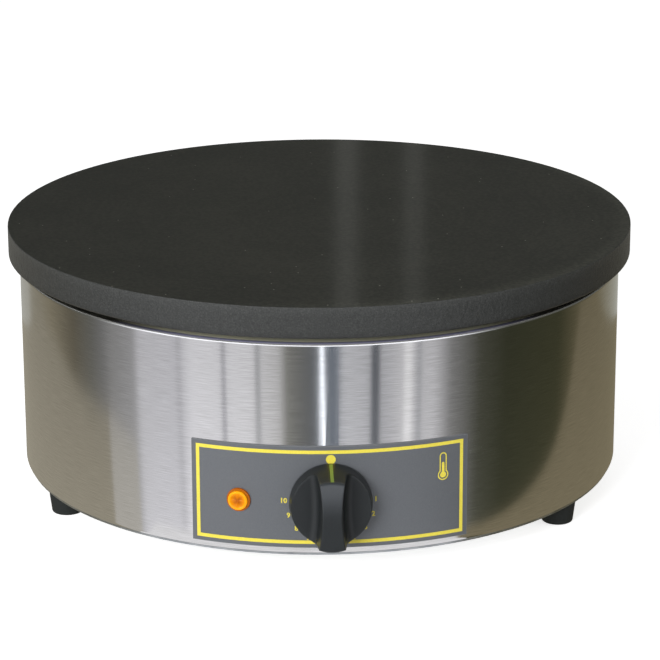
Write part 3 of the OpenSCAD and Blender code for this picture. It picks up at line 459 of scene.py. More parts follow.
def hang_lamp(name, place, size, power):
    """A square soft box aimed at the machine, out of the steel's mirror."""
    data = bpy.data.lights.new(name, "AREA")
    data.size = size
    data.energy = power
    lamp = into_scene(name, data)
    lamp.location = place
    lamp.rotation_euler = (Vector(AIM) - Vector(place)).to_track_quat("-Z", "Y").to_euler()
    lamp.visible_glossy = False
    print(name, power, "W")
    return lamp


hang_lamp("soft_box_left", (-1.1, -1.9, 0.72), 1.1, 49)
hang_lamp("soft_box_right", (2.2, -0.7, 0.8), 1.0, 9)

# %% [markdown]
# ## Finishes
# Each finish starts from what the real surface is and how it was made. They all read the
# object's own coordinates, in metres, so a pattern's scale is one over its real size.

# %% Pattern scale
def per_mm(size_mm):
    """Texture scale for a pattern whose grains are this many millimetres across."""
    return 1 / (size_mm * MM)


print("a 2 mm grain has texture scale", per_mm(2))

# %% [markdown]
# ### Brushed stainless steel
# The drum is rolled from sheet that was brushed along its length, so the brush lines run
# round it. Fine grooves that lie level spread a reflection up and down but hardly sideways:
# that is an anisotropic gloss, stretched across the grooves. The grooves are too fine to show
# at this distance, so a coarser set of hairlines is drawn over them. The wall's colour is
# painted brightest low down, a painted reflection of the pale table. The top flange lies under
# the hot plate, and its baked skin is no bare metal, so it isn't metallic. Its tone is painted
# light and shade: pale straw at the front, where light falls into the gap under the plate, and
# dark brown at the sides as painted shade. Along its outer edge it is darker and bluish.

# %% The brushed wall
HAIRLINE_MM, HAIRLINE_LENGTH_MM = 0.4, 14.0
LOW_REFLECTION, HIGH_REFLECTION = (0.015, 1.22), (0.14, 0.91)


def brushed_wall(tree, angle, height):
    """Tone of the wall, and the hairlines, which also give its relief."""
    along = add(tree, "ShaderNodeMath", {0: angle, 1: CASING_R}, operation="MULTIPLY")
    stretch = HAIRLINE_MM / HAIRLINE_LENGTH_MM
    run = add(tree, "ShaderNodeMath", {0: along, 1: stretch}, operation="MULTIPLY")
    brushed = add(tree, "ShaderNodeCombineXYZ", {"X": run, "Y": 0.0, "Z": height})
    hair = add(
        tree,
        "ShaderNodeTexNoise",
        {"Vector": brushed, "Scale": per_mm(HAIRLINE_MM), "Detail": 2.0, "Roughness": 0.6},
    )
    tone = add(
        tree,
        "ShaderNodeValToRGB",
        {"Fac": hair},
        stops=[(0.25, linear("c8c7c5")), (0.5, linear("d5d4d3")), (0.75, linear("e2e1e0"))],
    )
    # painted reflection: the wall is made brighter low down, where it mirrors the pale table, and duller
    # high up
    (low, bright), (high, dull) = LOW_REFLECTION, HIGH_REFLECTION
    painted_reflection = add(tree, "ShaderNodeMapRange", {"Value": height, **span(low, high, bright, dull)})
    wall = add(tree, "ShaderNodeMix", {0: 1.0, 6: tone, 7: painted_reflection}, **TIMES)
    return wall.outputs[2], hair


print("hairlines", HAIRLINE_MM, "by", HAIRLINE_LENGTH_MM, "mm, drawn coarser than the real ones")

# %% The baked flange
# painted light and shade on the flange: lit straw at the front, where light falls under the plate, shaded
# brown toward the sides
LIT_UNTIL_ANGLE, SHADED_FROM_ANGLE = 0.45, 0.74
STRAW_LIT_BROWN_SHADED = ("cfcdb6", "2c2b26")
EDGE_LIT_AND_SHADED = ("66667a", "1c1c1a")
DARK_EDGE_START_MM, DARK_EDGE_FULL_MM = 3.6, 2.1


def baked_flange(tree, angle, radius):
    """Tone of the flange, painted light and shade: straw at the front, brown at the sides, darker and bluish
    along its edge.
    """
    side = add(tree, "ShaderNodeMath", {0: angle}, operation="ABSOLUTE")
    lit_and_shaded, dark_edge = [
        add(
            tree,
            "ShaderNodeValToRGB",
            {"Fac": side},
            stops=[(LIT_UNTIL_ANGLE, linear(front)), (SHADED_FROM_ANGLE, linear(back))],
        )
        for front, back in (STRAW_LIT_BROWN_SHADED, EDGE_LIT_AND_SHADED)
    ]
    # the flange is made darker and bluish along its outer edge
    edge = span(CASING_R - DARK_EDGE_START_MM * MM, CASING_R - DARK_EDGE_FULL_MM * MM)
    rim = add(tree, "ShaderNodeMapRange", {"Value": radius, **edge}, **SMOOTH)
    tone = add(tree, "ShaderNodeMix", {0: rim, 6: lit_and_shaded, 7: dark_edge}, **RGBA)
    return tone.outputs[2]


print("the blued line begins", DARK_EDGE_START_MM, "mm inside the drum's face")


# %% Brushed stainless steel
BRUSHED = {"Roughness": 0.13, "Anisotropic": 0.85}


def brushed_stainless(name):
    """Grade 304 sheet with a fine brush: metallic, anisotropic across its level grooves."""
    material, tree, shader, place = start_material(name, BRUSHED)
    axes = add(tree, "ShaderNodeSeparateXYZ", {"Vector": place})
    back = add(tree, "ShaderNodeMath", {0: axes.outputs["Y"], 1: -1.0}, operation="MULTIPLY")
    angle = add(tree, "ShaderNodeMath", {0: axes.outputs["X"], 1: back}, operation="ARCTAN2")
    # this arrow runs along the grooves, and it is as long as the radius
    level = add(tree, "ShaderNodeCombineXYZ", {"X": back, "Y": axes.outputs["X"], "Z": 0.0})
    radius = add(tree, "ShaderNodeVectorMath", {0: level}, operation="LENGTH")
    wall, hair = brushed_wall(tree, angle, axes.outputs["Z"])
    flange = baked_flange(tree, angle, radius.outputs["Value"])
    normal = add(tree, "ShaderNodeNewGeometry").outputs["Normal"]
    facing = add(tree, "ShaderNodeSeparateXYZ", {"Vector": normal})
    baked = add(tree, "ShaderNodeMapRange", {"Value": facing.outputs["Z"], **span(0.5, 0.75)})
    skin = add(tree, "ShaderNodeMix", {0: baked, 6: wall, 7: flange}, **RGBA)
    bare = add(tree, "ShaderNodeMath", {0: 1.0, 1: baked}, operation="SUBTRACT")
    cloud = add(tree, "ShaderNodeTexNoise", {"Vector": place, "Scale": per_mm(60), "Detail": 2.0})
    rough = add(tree, "ShaderNodeMapRange", {"Value": cloud, **span(0.3, 0.7, 0.12, 0.14)})
    bump = add(tree, "ShaderNodeBump", {"Height": hair, "Strength": 0.1, "Distance": 0.000001})
    groove = add(tree, "ShaderNodeVectorMath", {0: level}, operation="NORMALIZE")
    across = add(tree, "ShaderNodeVectorMath", {0: groove, 1: normal}, operation="CROSS_PRODUCT")
    wire(tree, shader, {"Base Color": skin.outputs[2], "Metallic": bare, "Roughness": rough})
    wire(tree, shader, {"Normal": bump, "Tangent": across})
    return material


print("brushed steel starts from", BRUSHED)

# %% [markdown]
# ### Seasoned cast iron
# The plate is cast, its top is turned on a lathe and then seasoned with baked oil. The top is
# satin and olive black, with faint rings from the tool, pores, and a few pale specks where the
# oil has chipped. The top is made lighter toward the front right, and there its rim is painted
# grey, a painted highlight along the edge. The side keeps the casting's skin: greyer, matt,
# covered in small pimples and pits. It is painted darker below, as painted shade, and lighter
# along its top edge, as a painted highlight. The two surfaces are told apart by which way they
# look, so that the finish needs no painted mask.

# %% The plate's turned top
PORES_MM, PATCHES_MM, TOOL_RINGS_MM = 2.2, 90, 5
SPECKS_MM, SPECK_CHANCE = 16, 0.12
RIM_HIGHLIGHT_WIDTH = 0.013


def turned_top(tree, place, axes, flat, radius, ring_place):
    """Tone of the top, from patterns in the oil to the painted highlight on its rim."""
    blend = -0.35
    for where, grain_mm, detail, weight in (
        (ring_place, TOOL_RINGS_MM, 4.0, 0.25),
        (place, PATCHES_MM, 3.0, 0.45),
        (place, PORES_MM, 3.0, 1.0),
    ):
        noise = {"Vector": where, "Scale": per_mm(grain_mm), "Detail": detail}
        pattern = add(tree, "ShaderNodeTexNoise", noise)
        blend = add(tree, "ShaderNodeMath", {0: pattern, 1: weight, 2: blend}, operation="MULTIPLY_ADD")
    oiled = add(
        tree,
        "ShaderNodeValToRGB",
        {"Fac": blend},
        stops=[(0.35, linear("20211d")), (0.5, linear("292924")), (0.65, linear("31312b"))],
    )
    cells = {"Vector": flat, "Scale": per_mm(SPECKS_MM)}
    specks = add(tree, "ShaderNodeTexVoronoi", cells, voronoi_dimensions="2D")
    away = specks.outputs["Distance"]
    dot = add(tree, "ShaderNodeMapRange", {"Value": away, **span(0.02, 0.035, 1.0, 0.0)}, **SMOOTH)
    chosen = add(tree, "ShaderNodeSeparateXYZ", {"Vector": specks.outputs["Color"]}).outputs["X"]
    few = add(tree, "ShaderNodeMath", {0: chosen, 1: 1 - SPECK_CHANCE}, operation="GREATER_THAN")
    speck = add(tree, "ShaderNodeMath", {0: dot, 1: few}, operation="MULTIPLY")
    tone = add(tree, "ShaderNodeMix", {0: speck, 6: oiled, 7: linear("8c8c80")}, **RGBA)
    # painted highlight: the top is made lighter toward the front right, and its rim there lighter still
    toward_front_right = add(
        tree,
        "ShaderNodeMath",
        {0: axes.outputs["Y"], 1: -0.5, 2: axes.outputs["X"]},
        operation="MULTIPLY_ADD",
    )
    front_right_lift = add(tree, "ShaderNodeMapRange", {"Value": toward_front_right, **span(-PLATE_R, PLATE_R, 0.86, 1.14)})
    rim = add(tree, "ShaderNodeMapRange", {"Value": radius, **span(PLATE_R - RIM_HIGHLIGHT_WIDTH, PLATE_R)}, **SMOOTH)
    front_right_rim = add(tree, "ShaderNodeMapRange", {"Value": toward_front_right, **span(0.0, 0.16, 0.0, 0.8)}, **SMOOTH)
    rim_highlight_and_lift = add(tree, "ShaderNodeMath", {0: rim, 1: front_right_rim, 2: front_right_lift}, operation="MULTIPLY_ADD")
    painted_light = add(tree, "ShaderNodeMix", {0: 1.0, 6: tone.outputs[2], 7: rim_highlight_and_lift}, **TIMES)
    return painted_light.outputs[2]


print("plate's top: pores of", PORES_MM, "mm, the rim worn over", RIM_HIGHLIGHT_WIDTH, "m")

# %% The plate's cast side
# share of the height, and the painted light there: shade low down, a highlight along the top edge
SIDE_LIGHT_AND_SHADE = [(0.0, 0.72), (0.22, 0.95), (0.7, 1.0), (0.97, 1.25)]


def cast_side(tree, grain, height):
    """Tone of the side: the casting's skin, painted darker below and lighter along its top edge."""
    skin = add(
        tree,
        "ShaderNodeValToRGB",
        {"Fac": grain},
        stops=[(0.3, linear("2a2b2a")), (0.55, linear("353635")), (0.75, linear("424341"))],
    )
    share = add(tree, "ShaderNodeMapRange", {"Value": height, **span(plate_low.z, PLATE_TOP)})
    painted_light = add(
        tree,
        "ShaderNodeValToRGB",
        {"Fac": share},
        stops=[(at, (tone, tone, tone, 1)) for at, tone in SIDE_LIGHT_AND_SHADE],
    )
    tone = add(tree, "ShaderNodeMix", {0: 1.0, 6: skin, 7: painted_light}, **TIMES)
    return tone.outputs[2]


print("plate's side:", round(PLATE_TOP - plate_low.z, 4), "m high")


# %% Seasoned cast iron
CAST_IRON = {"Roughness": 0.6, "Specular IOR Level": 0.4, "Coat Roughness": 0.07}


def seasoned_cast_iron(name):
    """Turned and oiled on top, cast skin on the side, told apart by which way the face looks."""
    material, tree, shader, place = start_material(name, CAST_IRON)
    axes = add(tree, "ShaderNodeSeparateXYZ", {"Vector": place})
    flat = add(tree, "ShaderNodeCombineXYZ", {"X": axes.outputs["X"], "Y": axes.outputs["Y"], "Z": 0.0})
    radius = add(tree, "ShaderNodeVectorMath", {0: flat}, operation="LENGTH").outputs["Value"]
    ring_place = add(tree, "ShaderNodeCombineXYZ", {"X": radius, "Y": 0.0, "Z": 0.0})
    normal = add(tree, "ShaderNodeNewGeometry").outputs["Normal"]
    facing = add(tree, "ShaderNodeSeparateXYZ", {"Vector": normal}).outputs["Z"]
    on_top = add(tree, "ShaderNodeMapRange", {"Value": facing, **span(0.75, 0.98)})
    grain = add(tree, "ShaderNodeTexNoise", {"Vector": place, "Scale": per_mm(0.9), "Detail": 3.0})
    top = turned_top(tree, place, axes, flat, radius, ring_place)
    side = cast_side(tree, grain, axes.outputs["Z"])
    tone = add(tree, "ShaderNodeMix", {0: on_top, 6: side, 7: top}, **RGBA)
    # the underside is dry iron, painted pale as painted light: the flange below mirrors it, so
    # the gap under the plate looks lit
    beneath = add(tree, "ShaderNodeMapRange", {"Value": facing, **span(-0.99, -0.93, 1.0, 0.0)})
    tone = add(tree, "ShaderNodeMix", {0: beneath, 6: tone.outputs[2], 7: linear("8f8f80")}, **RGBA)
    rough = add(tree, "ShaderNodeMapRange", {"Value": on_top, **span(0.0, 1.0, 0.45, 0.6)})
    oil = add(tree, "ShaderNodeMath", {0: on_top, 1: 0.16}, operation="MULTIPLY")
    pits = add(
        tree,
        "ShaderNodeTexNoise",
        {"Vector": place, "Scale": per_mm(3.5), "Detail": 5.0, "Roughness": 0.6},
    )
    turned = add(tree, "ShaderNodeTexNoise", {"Vector": ring_place, "Scale": per_mm(1.2), "Detail": 2.0})
    fine = add(tree, "ShaderNodeMix", {0: 0.6, 2: turned, 3: grain}, data_type="FLOAT")
    height = add(tree, "ShaderNodeMix", {0: on_top, 2: pits, 3: fine}, data_type="FLOAT")
    relief = add(tree, "ShaderNodeMapRange", {"Value": on_top, **span(0.0, 1.0, 0.0007, 0.00002)})
    bump = add(tree, "ShaderNodeBump", {"Height": height, "Strength": 0.8, "Distance": relief})
    wire(tree, shader, {"Base Color": tone.outputs[2], "Roughness": rough})
    wire(tree, shader, {"Coat Weight": oil, "Normal": bump})
    return material


print("cast iron starts from", CAST_IRON)

# %% [markdown]
# ### Plain metals
# Screws, washers, the ring and the sheet inside are zinc plated, galvanised or bare. They
# differ in tint, gloss and in the size of the crystals or stains on them, so one recipe with
# those three values serves them all.

# %% Plain metals
METAL_RELIEF = 0.00004


def plain_metal(name, dark, light, roughness, mottle_mm):
    """A metal surface with mottled tone, for plated, drawn and sheet parts."""
    material, tree, shader, place = start_material(name, {"Metallic": 1.0, "Roughness": roughness})
    pattern = {"Vector": place, "Scale": per_mm(mottle_mm), "Detail": 4.0}
    mottle = add(tree, "ShaderNodeTexNoise", pattern)
    stops = [(0.35, linear(dark)), (0.65, linear(light))]
    tone = add(tree, "ShaderNodeValToRGB", {"Fac": mottle}, stops=stops)
    sheen = span(0.0, 1.0, roughness * 0.85, roughness * 1.15)
    gloss = add(tree, "ShaderNodeMapRange", {"Value": mottle, **sheen})
    bump = add(tree, "ShaderNodeBump", {"Height": mottle, "Strength": 0.3, "Distance": METAL_RELIEF})
    wire(tree, shader, {"Base Color": tone, "Roughness": gloss, "Normal": bump})
    return material


print("plain metals: relief", METAL_RELIEF / MM, "mm")

# %% [markdown]
# ### Moulded plastics, rubber and ceramic
# A moulded surface copies the mould's fine spark grain. The grain breaks up the gloss, and a
# slight change of tone keeps a large face from looking painted.

# %% Moulded plastics, rubber and ceramic
GRAIN_RELIEF_MM = 0.02


def moulded(name, dark, light, roughness, grain_mm, relief_mm=GRAIN_RELIEF_MM, specular=0.5):
    """A moulded surface: fine grain in tone and relief."""
    values = {"Roughness": roughness, "Specular IOR Level": specular}
    material, tree, shader, place = start_material(name, values)
    pattern = {"Vector": place, "Scale": per_mm(grain_mm), "Detail": 3.0}
    grain = add(tree, "ShaderNodeTexNoise", pattern)
    stops = [(0.3, linear(dark)), (0.7, linear(light))]
    tone = add(tree, "ShaderNodeValToRGB", {"Fac": grain}, stops=stops)
    bump = add(tree, "ShaderNodeBump", {"Height": grain, "Strength": 0.6, "Distance": relief_mm * MM})
    wire(tree, shader, {"Base Color": tone, "Normal": bump})
    return material


print("mouldings: relief", GRAIN_RELIEF_MM, "mm where a row gives none")

# %% [markdown]
# ### Orange polycarbonate
# The pilot lamp's lens is a clear orange moulding over a neon lamp. Its rounded rim gathers
# the light and looks yellow, and that glow is painted into the colour as a bright ring; the
# thin flange round it is deep amber, and the lobed middle lies between them. The tones follow
# the distance from the lens's own axis, so a Mapping node brings the axis to the origin and
# turns it to face the reader.

# %% Orange polycarbonate
LAMP_ALONG = -0.0553
LAMP_TURN = math.degrees(LAMP_ALONG / CASING_R)
# share of the lens's radius, and the tone there; the bright yellow ring is the lamp's glow painted into the
# colour
LENS_TONES = [
    (0.0, "b05a00"),
    (0.3, "c87000"),
    (0.56, "d88200"),
    (0.68, "ffa008"),
    (0.8, "ffaa10"),
    (0.86, "9a5000"),
    (1.0, "a04e08"),
]


def lens_lobes(tree, parts, share):
    """How dark the gaps between the four lobes are: most near the middle, nothing at the rim."""
    turn = add(tree, "ShaderNodeMath", {0: parts.outputs["X"], 1: parts.outputs["Z"]}, operation="ARCTAN2")
    double = add(tree, "ShaderNodeMath", {0: turn, 1: 2.0}, operation="MULTIPLY")
    wave = add(tree, "ShaderNodeMath", {0: double}, operation="SINE")
    lobe = add(tree, "ShaderNodeMath", {0: wave}, operation="ABSOLUTE")
    inside = add(tree, "ShaderNodeMapRange", {"Value": share, **span(0.1, 0.66, 0.7, 0.0)}, **SMOOTH)
    return add(tree, "ShaderNodeMath", {0: lobe, 1: inside}, operation="MULTIPLY")


def orange_lens(name):
    """Tinted polycarbonate, glowing a little, with rings of tone round the lamp's axis."""
    values = {"Roughness": 0.18, "Specular IOR Level": 0.2}
    glow = {"Emission Color": linear("ff9a00"), "Emission Strength": 0.08}
    material, tree, shader, place = start_material(name, {**values, **glow})
    axis = on_ring(FACE_R, LAMP_TURN, CONTROL_Z)
    local = add(
        tree,
        "ShaderNodeMapping",
        {"Vector": place, "Location": axis, "Rotation": (0, 0, math.radians(LAMP_TURN))},
        vector_type="TEXTURE",
    )
    parts = add(tree, "ShaderNodeSeparateXYZ", {"Vector": local})
    flat = add(tree, "ShaderNodeCombineXYZ", {"X": parts.outputs["X"], "Y": parts.outputs["Z"], "Z": 0.0})
    radius = add(tree, "ShaderNodeVectorMath", {0: flat}, operation="LENGTH").outputs["Value"]
    share = add(tree, "ShaderNodeMapRange", {"Value": radius, **span(0.0, LENS_R * MM)})
    stops = [(at, linear(tone)) for at, tone in LENS_TONES]
    rings = add(tree, "ShaderNodeValToRGB", {"Fac": share}, stops=stops)
    dark = lens_lobes(tree, parts, share)
    tone = add(tree, "ShaderNodeMix", {0: dark, 6: rings, 7: linear("8a3c00")}, **RGBA)
    haze = add(tree, "ShaderNodeTexNoise", {"Vector": place, "Scale": per_mm(2.5), "Detail": 2.0})
    cloud = add(tree, "ShaderNodeMapRange", {"Value": haze, **span(0.0, 1.0, 0.82, 1.12)})
    tone = add(tree, "ShaderNodeMix", {0: 1.0, 6: tone.outputs[2], 7: cloud}, **TIMES)
    ripple = add(tree, "ShaderNodeBump", {"Height": haze, "Strength": 0.3, "Distance": 0.0001})
    wire(tree, shader, {"Base Color": tone.outputs[2], "Normal": ripple})
    return material


print("lamp:", round(LAMP_TURN, 2), "degrees from the front")

# %% [markdown]
# ### The knob's plastic
# The knob is a black phenolic moulding. Its edges are rounded by the mould and polished by
# fingers, and its faces are crowned a little along the grip, so that the upper part catches the
# light. A Bevel node rounds the look of the edges, and a slow bump draws the crown. The upper
# front of the grip is painted a lighter grey, a painted highlight.

# %% Knob plastic
EDGE_ROUND = 0.0017
CROWN_START = CONTROL_Z + 0.001
CROWN_FALL = -8.5
GRIP_FRONT = (knob_low.y + 0.001, knob_low.y + 0.003)
GRIP_HIGHLIGHT_SPAN = (CONTROL_Z - 0.004, CONTROL_Z + 0.016)


def knob_crown(tree, height, rounded):
    """The bent look of a crowned face: it falls with the square of the height over the axis."""
    over_axis = add(tree, "ShaderNodeMath", {0: height, 1: CROWN_START}, operation="SUBTRACT")
    upper = add(tree, "ShaderNodeMath", {0: over_axis, 1: 0.0}, operation="MAXIMUM")
    squared = add(tree, "ShaderNodeMath", {0: upper, 1: 2.0}, operation="POWER")
    fall = add(tree, "ShaderNodeMath", {0: squared, 1: CROWN_FALL}, operation="MULTIPLY")
    bent = {"Height": fall, "Strength": 1.0, "Distance": 1.0, "Normal": rounded}
    return add(tree, "ShaderNodeBump", bent)


def knob_plastic(name):
    """Black moulding with rounded edges, a slight crown and a fine spark grain."""
    material, tree, shader, place = start_material(name, {"Roughness": 0.38, "Specular IOR Level": 0.5})
    axes = add(tree, "ShaderNodeSeparateXYZ", {"Vector": place})
    depth, height = axes.outputs["Y"], axes.outputs["Z"]
    grain = add(tree, "ShaderNodeTexNoise", {"Vector": place, "Scale": per_mm(0.45), "Detail": 3.0})
    stops = [(0.3, linear("181b1c")), (0.7, linear("212425"))]
    tone = add(tree, "ShaderNodeValToRGB", {"Fac": grain}, stops=stops)
    # painted highlight: the upper front of the grip is made a lighter grey
    front = add(tree, "ShaderNodeMapRange", {"Value": depth, **span(*GRIP_FRONT, 1.0, 0.0)}, **SMOOTH)
    high = add(tree, "ShaderNodeMapRange", {"Value": height, **span(*GRIP_HIGHLIGHT_SPAN)}, **SMOOTH)
    grip_highlight = add(tree, "ShaderNodeMath", {0: front, 1: high}, operation="MULTIPLY")
    tone = add(tree, "ShaderNodeMix", {0: grip_highlight, 6: tone, 7: linear("35383b")}, **RGBA)
    rounded = add(tree, "ShaderNodeBevel", {"Radius": EDGE_ROUND}, samples=6)
    crown = knob_crown(tree, height, rounded)
    look = add(tree, "ShaderNodeMix", {0: front, 4: rounded, 5: crown}, data_type="VECTOR")
    fine = {"Height": grain, "Strength": 0.6, "Distance": 0.00002, "Normal": look.outputs[1]}
    spark = add(tree, "ShaderNodeBump", fine)
    wire(tree, shader, {"Base Color": tone.outputs[2], "Normal": spark})
    return material


print("knob: edges rounded by", EDGE_ROUND / MM, "mm")

# %% [markdown]
# ### A finish for each slot
# The construction names a slot for each piece. Four slots have a finish of their own, and the
# rest are rows of values for the two recipes. Each row says what it gives the eye.

# %% Rows for the two recipes
# dark and light tone, roughness, size of the mottling in mm
METALS = {
    # drawn tube that has glowed: matt, grey brown
    "heater_sheath": ("4b4744", "6a645e", 0.55, 6),
    # a thin cold plating, a little cloudy
    "zinc_plated_steel": ("a9adb0", "c3c6c8", 0.35, 3),
    # hot dipped sheet with large soft crystals
    "galvanised_steel": ("9fa3a5", "bfc2c3", 0.42, 14),
    # warmer and more even than zinc
    "aluminised_steel": ("b4b4b1", "c9c9c6", 0.38, 10),
    # machined and clean, with the sharpest gloss of these
    "bright_steel": ("b9b9b7", "cfcfcd", 0.25, 4),
    # drawn copper, salmon pink and a little dulled
    "copper_tube": ("b06f48", "cc8c62", 0.3, 4),
    # turned brass, pale yellow
    "brass_plain": ("b59543", "d1b363", 0.32, 3),
}
# dark and light tone, roughness, size of the grain in mm, and then relief in mm and gloss
MOULDINGS = {
    # fluffy fibre, cream and quite matt
    "mineral_wool": ("cfc3a5", "ece3cd", 0.95, 2.5, 0.5, 0.1),
    # fired beads, chalky white
    "ceramic_white": ("ddd6c9", "ebe6dc", 0.5, 0.8),
    # dark and dull, with a soft light along its edges
    "foot_rubber": ("1f2222", "292c2c", 0.65, 0.5, 0.03, 0.35),
    # a ring pressed thin, greyer than the feet
    "seal_rubber": ("26292b", "303436", 0.7, 0.5),
    # a printed film, even and cool grey, that takes a broad sheen
    "panel_film": ("515458", "5a5d61", 0.42, 0.6, 0.004, 0.9),
    # housings inside, off white and black
    "nylon_white": ("dcd6cb", "e8e3da", 0.45, 0.6),
    "nylon_black": ("17191b", "1f2224", 0.5, 0.6),
    # paint in a groove, a dull leaf green beside the panel's yellow
    "pointer_yellow": ("748a34", "879c42", 0.4, 0.5),
    # insulation of the leads, in the colours that tell them apart
    "lead_brown": ("60371f", "734427", 0.5, 0.7),
    "lead_black": ("1e2123", "282c2e", 0.5, 0.7),
    "lead_blue": ("2f5c9a", "3d6eae", 0.5, 0.7),
    "lead_green": ("6b8f2c", "86a83e", 0.5, 0.7),
    "lead_white": ("c7c9cb", "d8dadb", 0.5, 0.7),
}
print("rows:", len(METALS), "metals and", len(MOULDINGS), "mouldings")

# %% One finish for each slot of the construction
OWN_FINISH = {
    "seasoned_cast_iron": seasoned_cast_iron,
    "brushed_stainless": brushed_stainless,
    "orange_lens": orange_lens,
    "knob_plastic": knob_plastic,
}


def make_finish(slot):
    """A slot's own finish, or one of the two recipes with the slot's row."""
    if slot in OWN_FINISH:
        return OWN_FINISH[slot](slot)
    if slot in METALS:
        return plain_metal(slot, *METALS[slot])
    return moulded(slot, *MOULDINGS[slot])


finishes = {}
for entry in frame["record"]["subparts"]:
    slot = entry["material_slot"]
    if slot not in finishes:
        finishes[slot] = make_finish(slot)
    for each in frame["nodes"][entry["node"]].material_slots:
        each.material = finishes[slot]
print("finishes:", len(finishes))

# %% [markdown]
# ## The drum
# A sheet metal worker folds the two long edges of a strip inwards, rolls the strip round a
# cylinder and welds its ends. The scene does the same: a flat strip with the folded section is
# drawn first, and a Geometry Nodes tree rolls it, so that the distance along the strip becomes
# an angle. Rolling is a rule, and the same tree rolls the panel's prints later. The
# strip replaces the construction's casing because its folds get eight facets where the solid
# has two, and the thin highlights along them need that.

# %% The tree that rolls a flat shape round the drum
def rolling_tree():
    """Geometry Nodes: x becomes an angle round the drum, y becomes height."""
    tree = bpy.data.node_groups.new("roll_onto_drum", "GeometryNodeTree")
    for title, kind, default in (
        ("Geometry", "NodeSocketGeometry", None),
        ("Drum radius", "NodeSocketFloat", 0.2),
        ("Lift", "NodeSocketFloat", 0.0),
        ("Axis height", "NodeSocketFloat", 0.05),
        ("Ink", "NodeSocketMaterial", None),
    ):
        made = tree.interface.new_socket(title, in_out="INPUT", socket_type=kind)
        if default is not None:
            made.default_value = default
    tree.interface.new_socket("Geometry", in_out="OUTPUT", socket_type="NodeSocketGeometry")
    given = add(tree, "NodeGroupInput")
    place = add(tree, "GeometryNodeInputPosition")
    flat = add(tree, "ShaderNodeSeparateXYZ", {"Vector": place})
    drum = given.outputs["Drum radius"]
    reach = add(tree, "ShaderNodeMath", {0: drum, 1: given.outputs["Lift"]}, operation="ADD")
    reach = add(tree, "ShaderNodeMath", {0: reach, 1: flat.outputs["Z"]}, operation="ADD")
    angle = add(tree, "ShaderNodeMath", {0: flat.outputs["X"], 1: drum}, operation="DIVIDE")
    sine = add(tree, "ShaderNodeMath", {0: angle}, operation="SINE")
    cosine = add(tree, "ShaderNodeMath", {0: angle}, operation="COSINE")
    x = add(tree, "ShaderNodeMath", {0: reach, 1: sine}, operation="MULTIPLY")
    y = add(tree, "ShaderNodeMath", {0: reach, 1: cosine}, operation="MULTIPLY")
    front = add(tree, "ShaderNodeMath", {0: y, 1: -1.0}, operation="MULTIPLY")
    z = add(tree, "ShaderNodeMath", {0: flat.outputs["Y"], 1: given.outputs["Axis height"]}, operation="ADD")
    rolled = add(tree, "ShaderNodeCombineXYZ", {"X": x, "Y": front, "Z": z})
    sheet = given.outputs["Geometry"]
    moved = add(tree, "GeometryNodeSetPosition", {"Geometry": sheet, "Position": rolled})
    real = add(tree, "GeometryNodeRealizeInstances", {"Geometry": moved})
    inked = add(tree, "GeometryNodeSetMaterial", {"Geometry": real, "Material": given.outputs["Ink"]})
    add(tree, "NodeGroupOutput", {"Geometry": inked})
    return tree


ROLLING = rolling_tree()
print("rolling tree:", len(ROLLING.nodes), "nodes")


# %% Roll, bake and weld
def set_inputs(modifier, **values):
    """Set a modifier's inputs by their names, through their identifiers."""
    for item in modifier.node_group.interface.items_tree:
        key = item.name.replace(" ", "_")
        if item.item_type == "SOCKET" and item.in_out == "INPUT" and key in values:
            modifier[item.identifier] = values[key]


def bake_modifiers(source, name):
    """Turn an object with modifiers into a plain mesh object and drop the source."""
    graph = bpy.context.evaluated_depsgraph_get()
    mesh = bpy.data.meshes.new_from_object(source.evaluated_get(graph), depsgraph=graph)
    mesh.name = name
    bpy.data.objects.remove(source)
    return into_scene(name, mesh)


def rolled(name, flat_mesh, finish, radius, height=0.0, lift=0.0):
    """Roll a flat mesh round the drum and return the plain object."""
    flat = into_scene(name + "_flat", flat_mesh)
    roll = flat.modifiers.new("roll", "NODES")
    roll.node_group = ROLLING
    set_inputs(roll, Drum_radius=radius, Lift=lift, Axis_height=height, Ink=finish)
    return bake_modifiers(flat, name)


def tidy_shell(mesh, sharp_degrees=30):
    """Weld doubles, turn the faces outwards and shade smooth between the sharp edges."""
    shape = bmesh.new()
    shape.from_mesh(mesh)
    bmesh.ops.remove_doubles(shape, verts=shape.verts, dist=1e-6)
    bmesh.ops.recalc_face_normals(shape, faces=shape.faces)
    shape.to_mesh(mesh)
    shape.free()
    mesh.shade_smooth()
    mesh.set_sharp_from_angle(angle=math.radians(sharp_degrees))


print("one turn of the drum:", round(math.tau * CASING_R, 4), "m of strip")

# %% A folded strip
FOLD_R = 0.0022
SHEET = 0.001
TOP_FOLD = 0.027
BOTTOM_FOLD = 0.023
DRUM_STEPS = 256


def ring_points(centre, radius, start=0, end=360, count=48):
    """Points on an arc, in degrees, counted towards +Y from +X; a full turn isn't doubled."""
    last = 0 if end - start >= 360 else 1
    turns = [math.radians(start + (end - start) * i / count) for i in range(count + last)]
    return [(centre[0] + radius * math.cos(t), centre[1] + radius * math.sin(t)) for t in turns]


def folded_section(low, high):
    """Closed section of the wall and its folds: how far out from the drum, and height."""
    top, bottom, within = (-FOLD_R, high - FOLD_R), (-FOLD_R, low + FOLD_R), FOLD_R - SHEET
    outside = [(-TOP_FOLD, high)]
    outside += ring_points(top, FOLD_R, 90, 0, 8) + ring_points(bottom, FOLD_R, 0, -90, 8)
    outside += [(-BOTTOM_FOLD, low), (-BOTTOM_FOLD, low + SHEET)]
    inside = ring_points(bottom, within, -90, 0, 4) + ring_points(top, within, 0, 90, 4)
    return outside + inside + [(-TOP_FOLD, high - SHEET)]


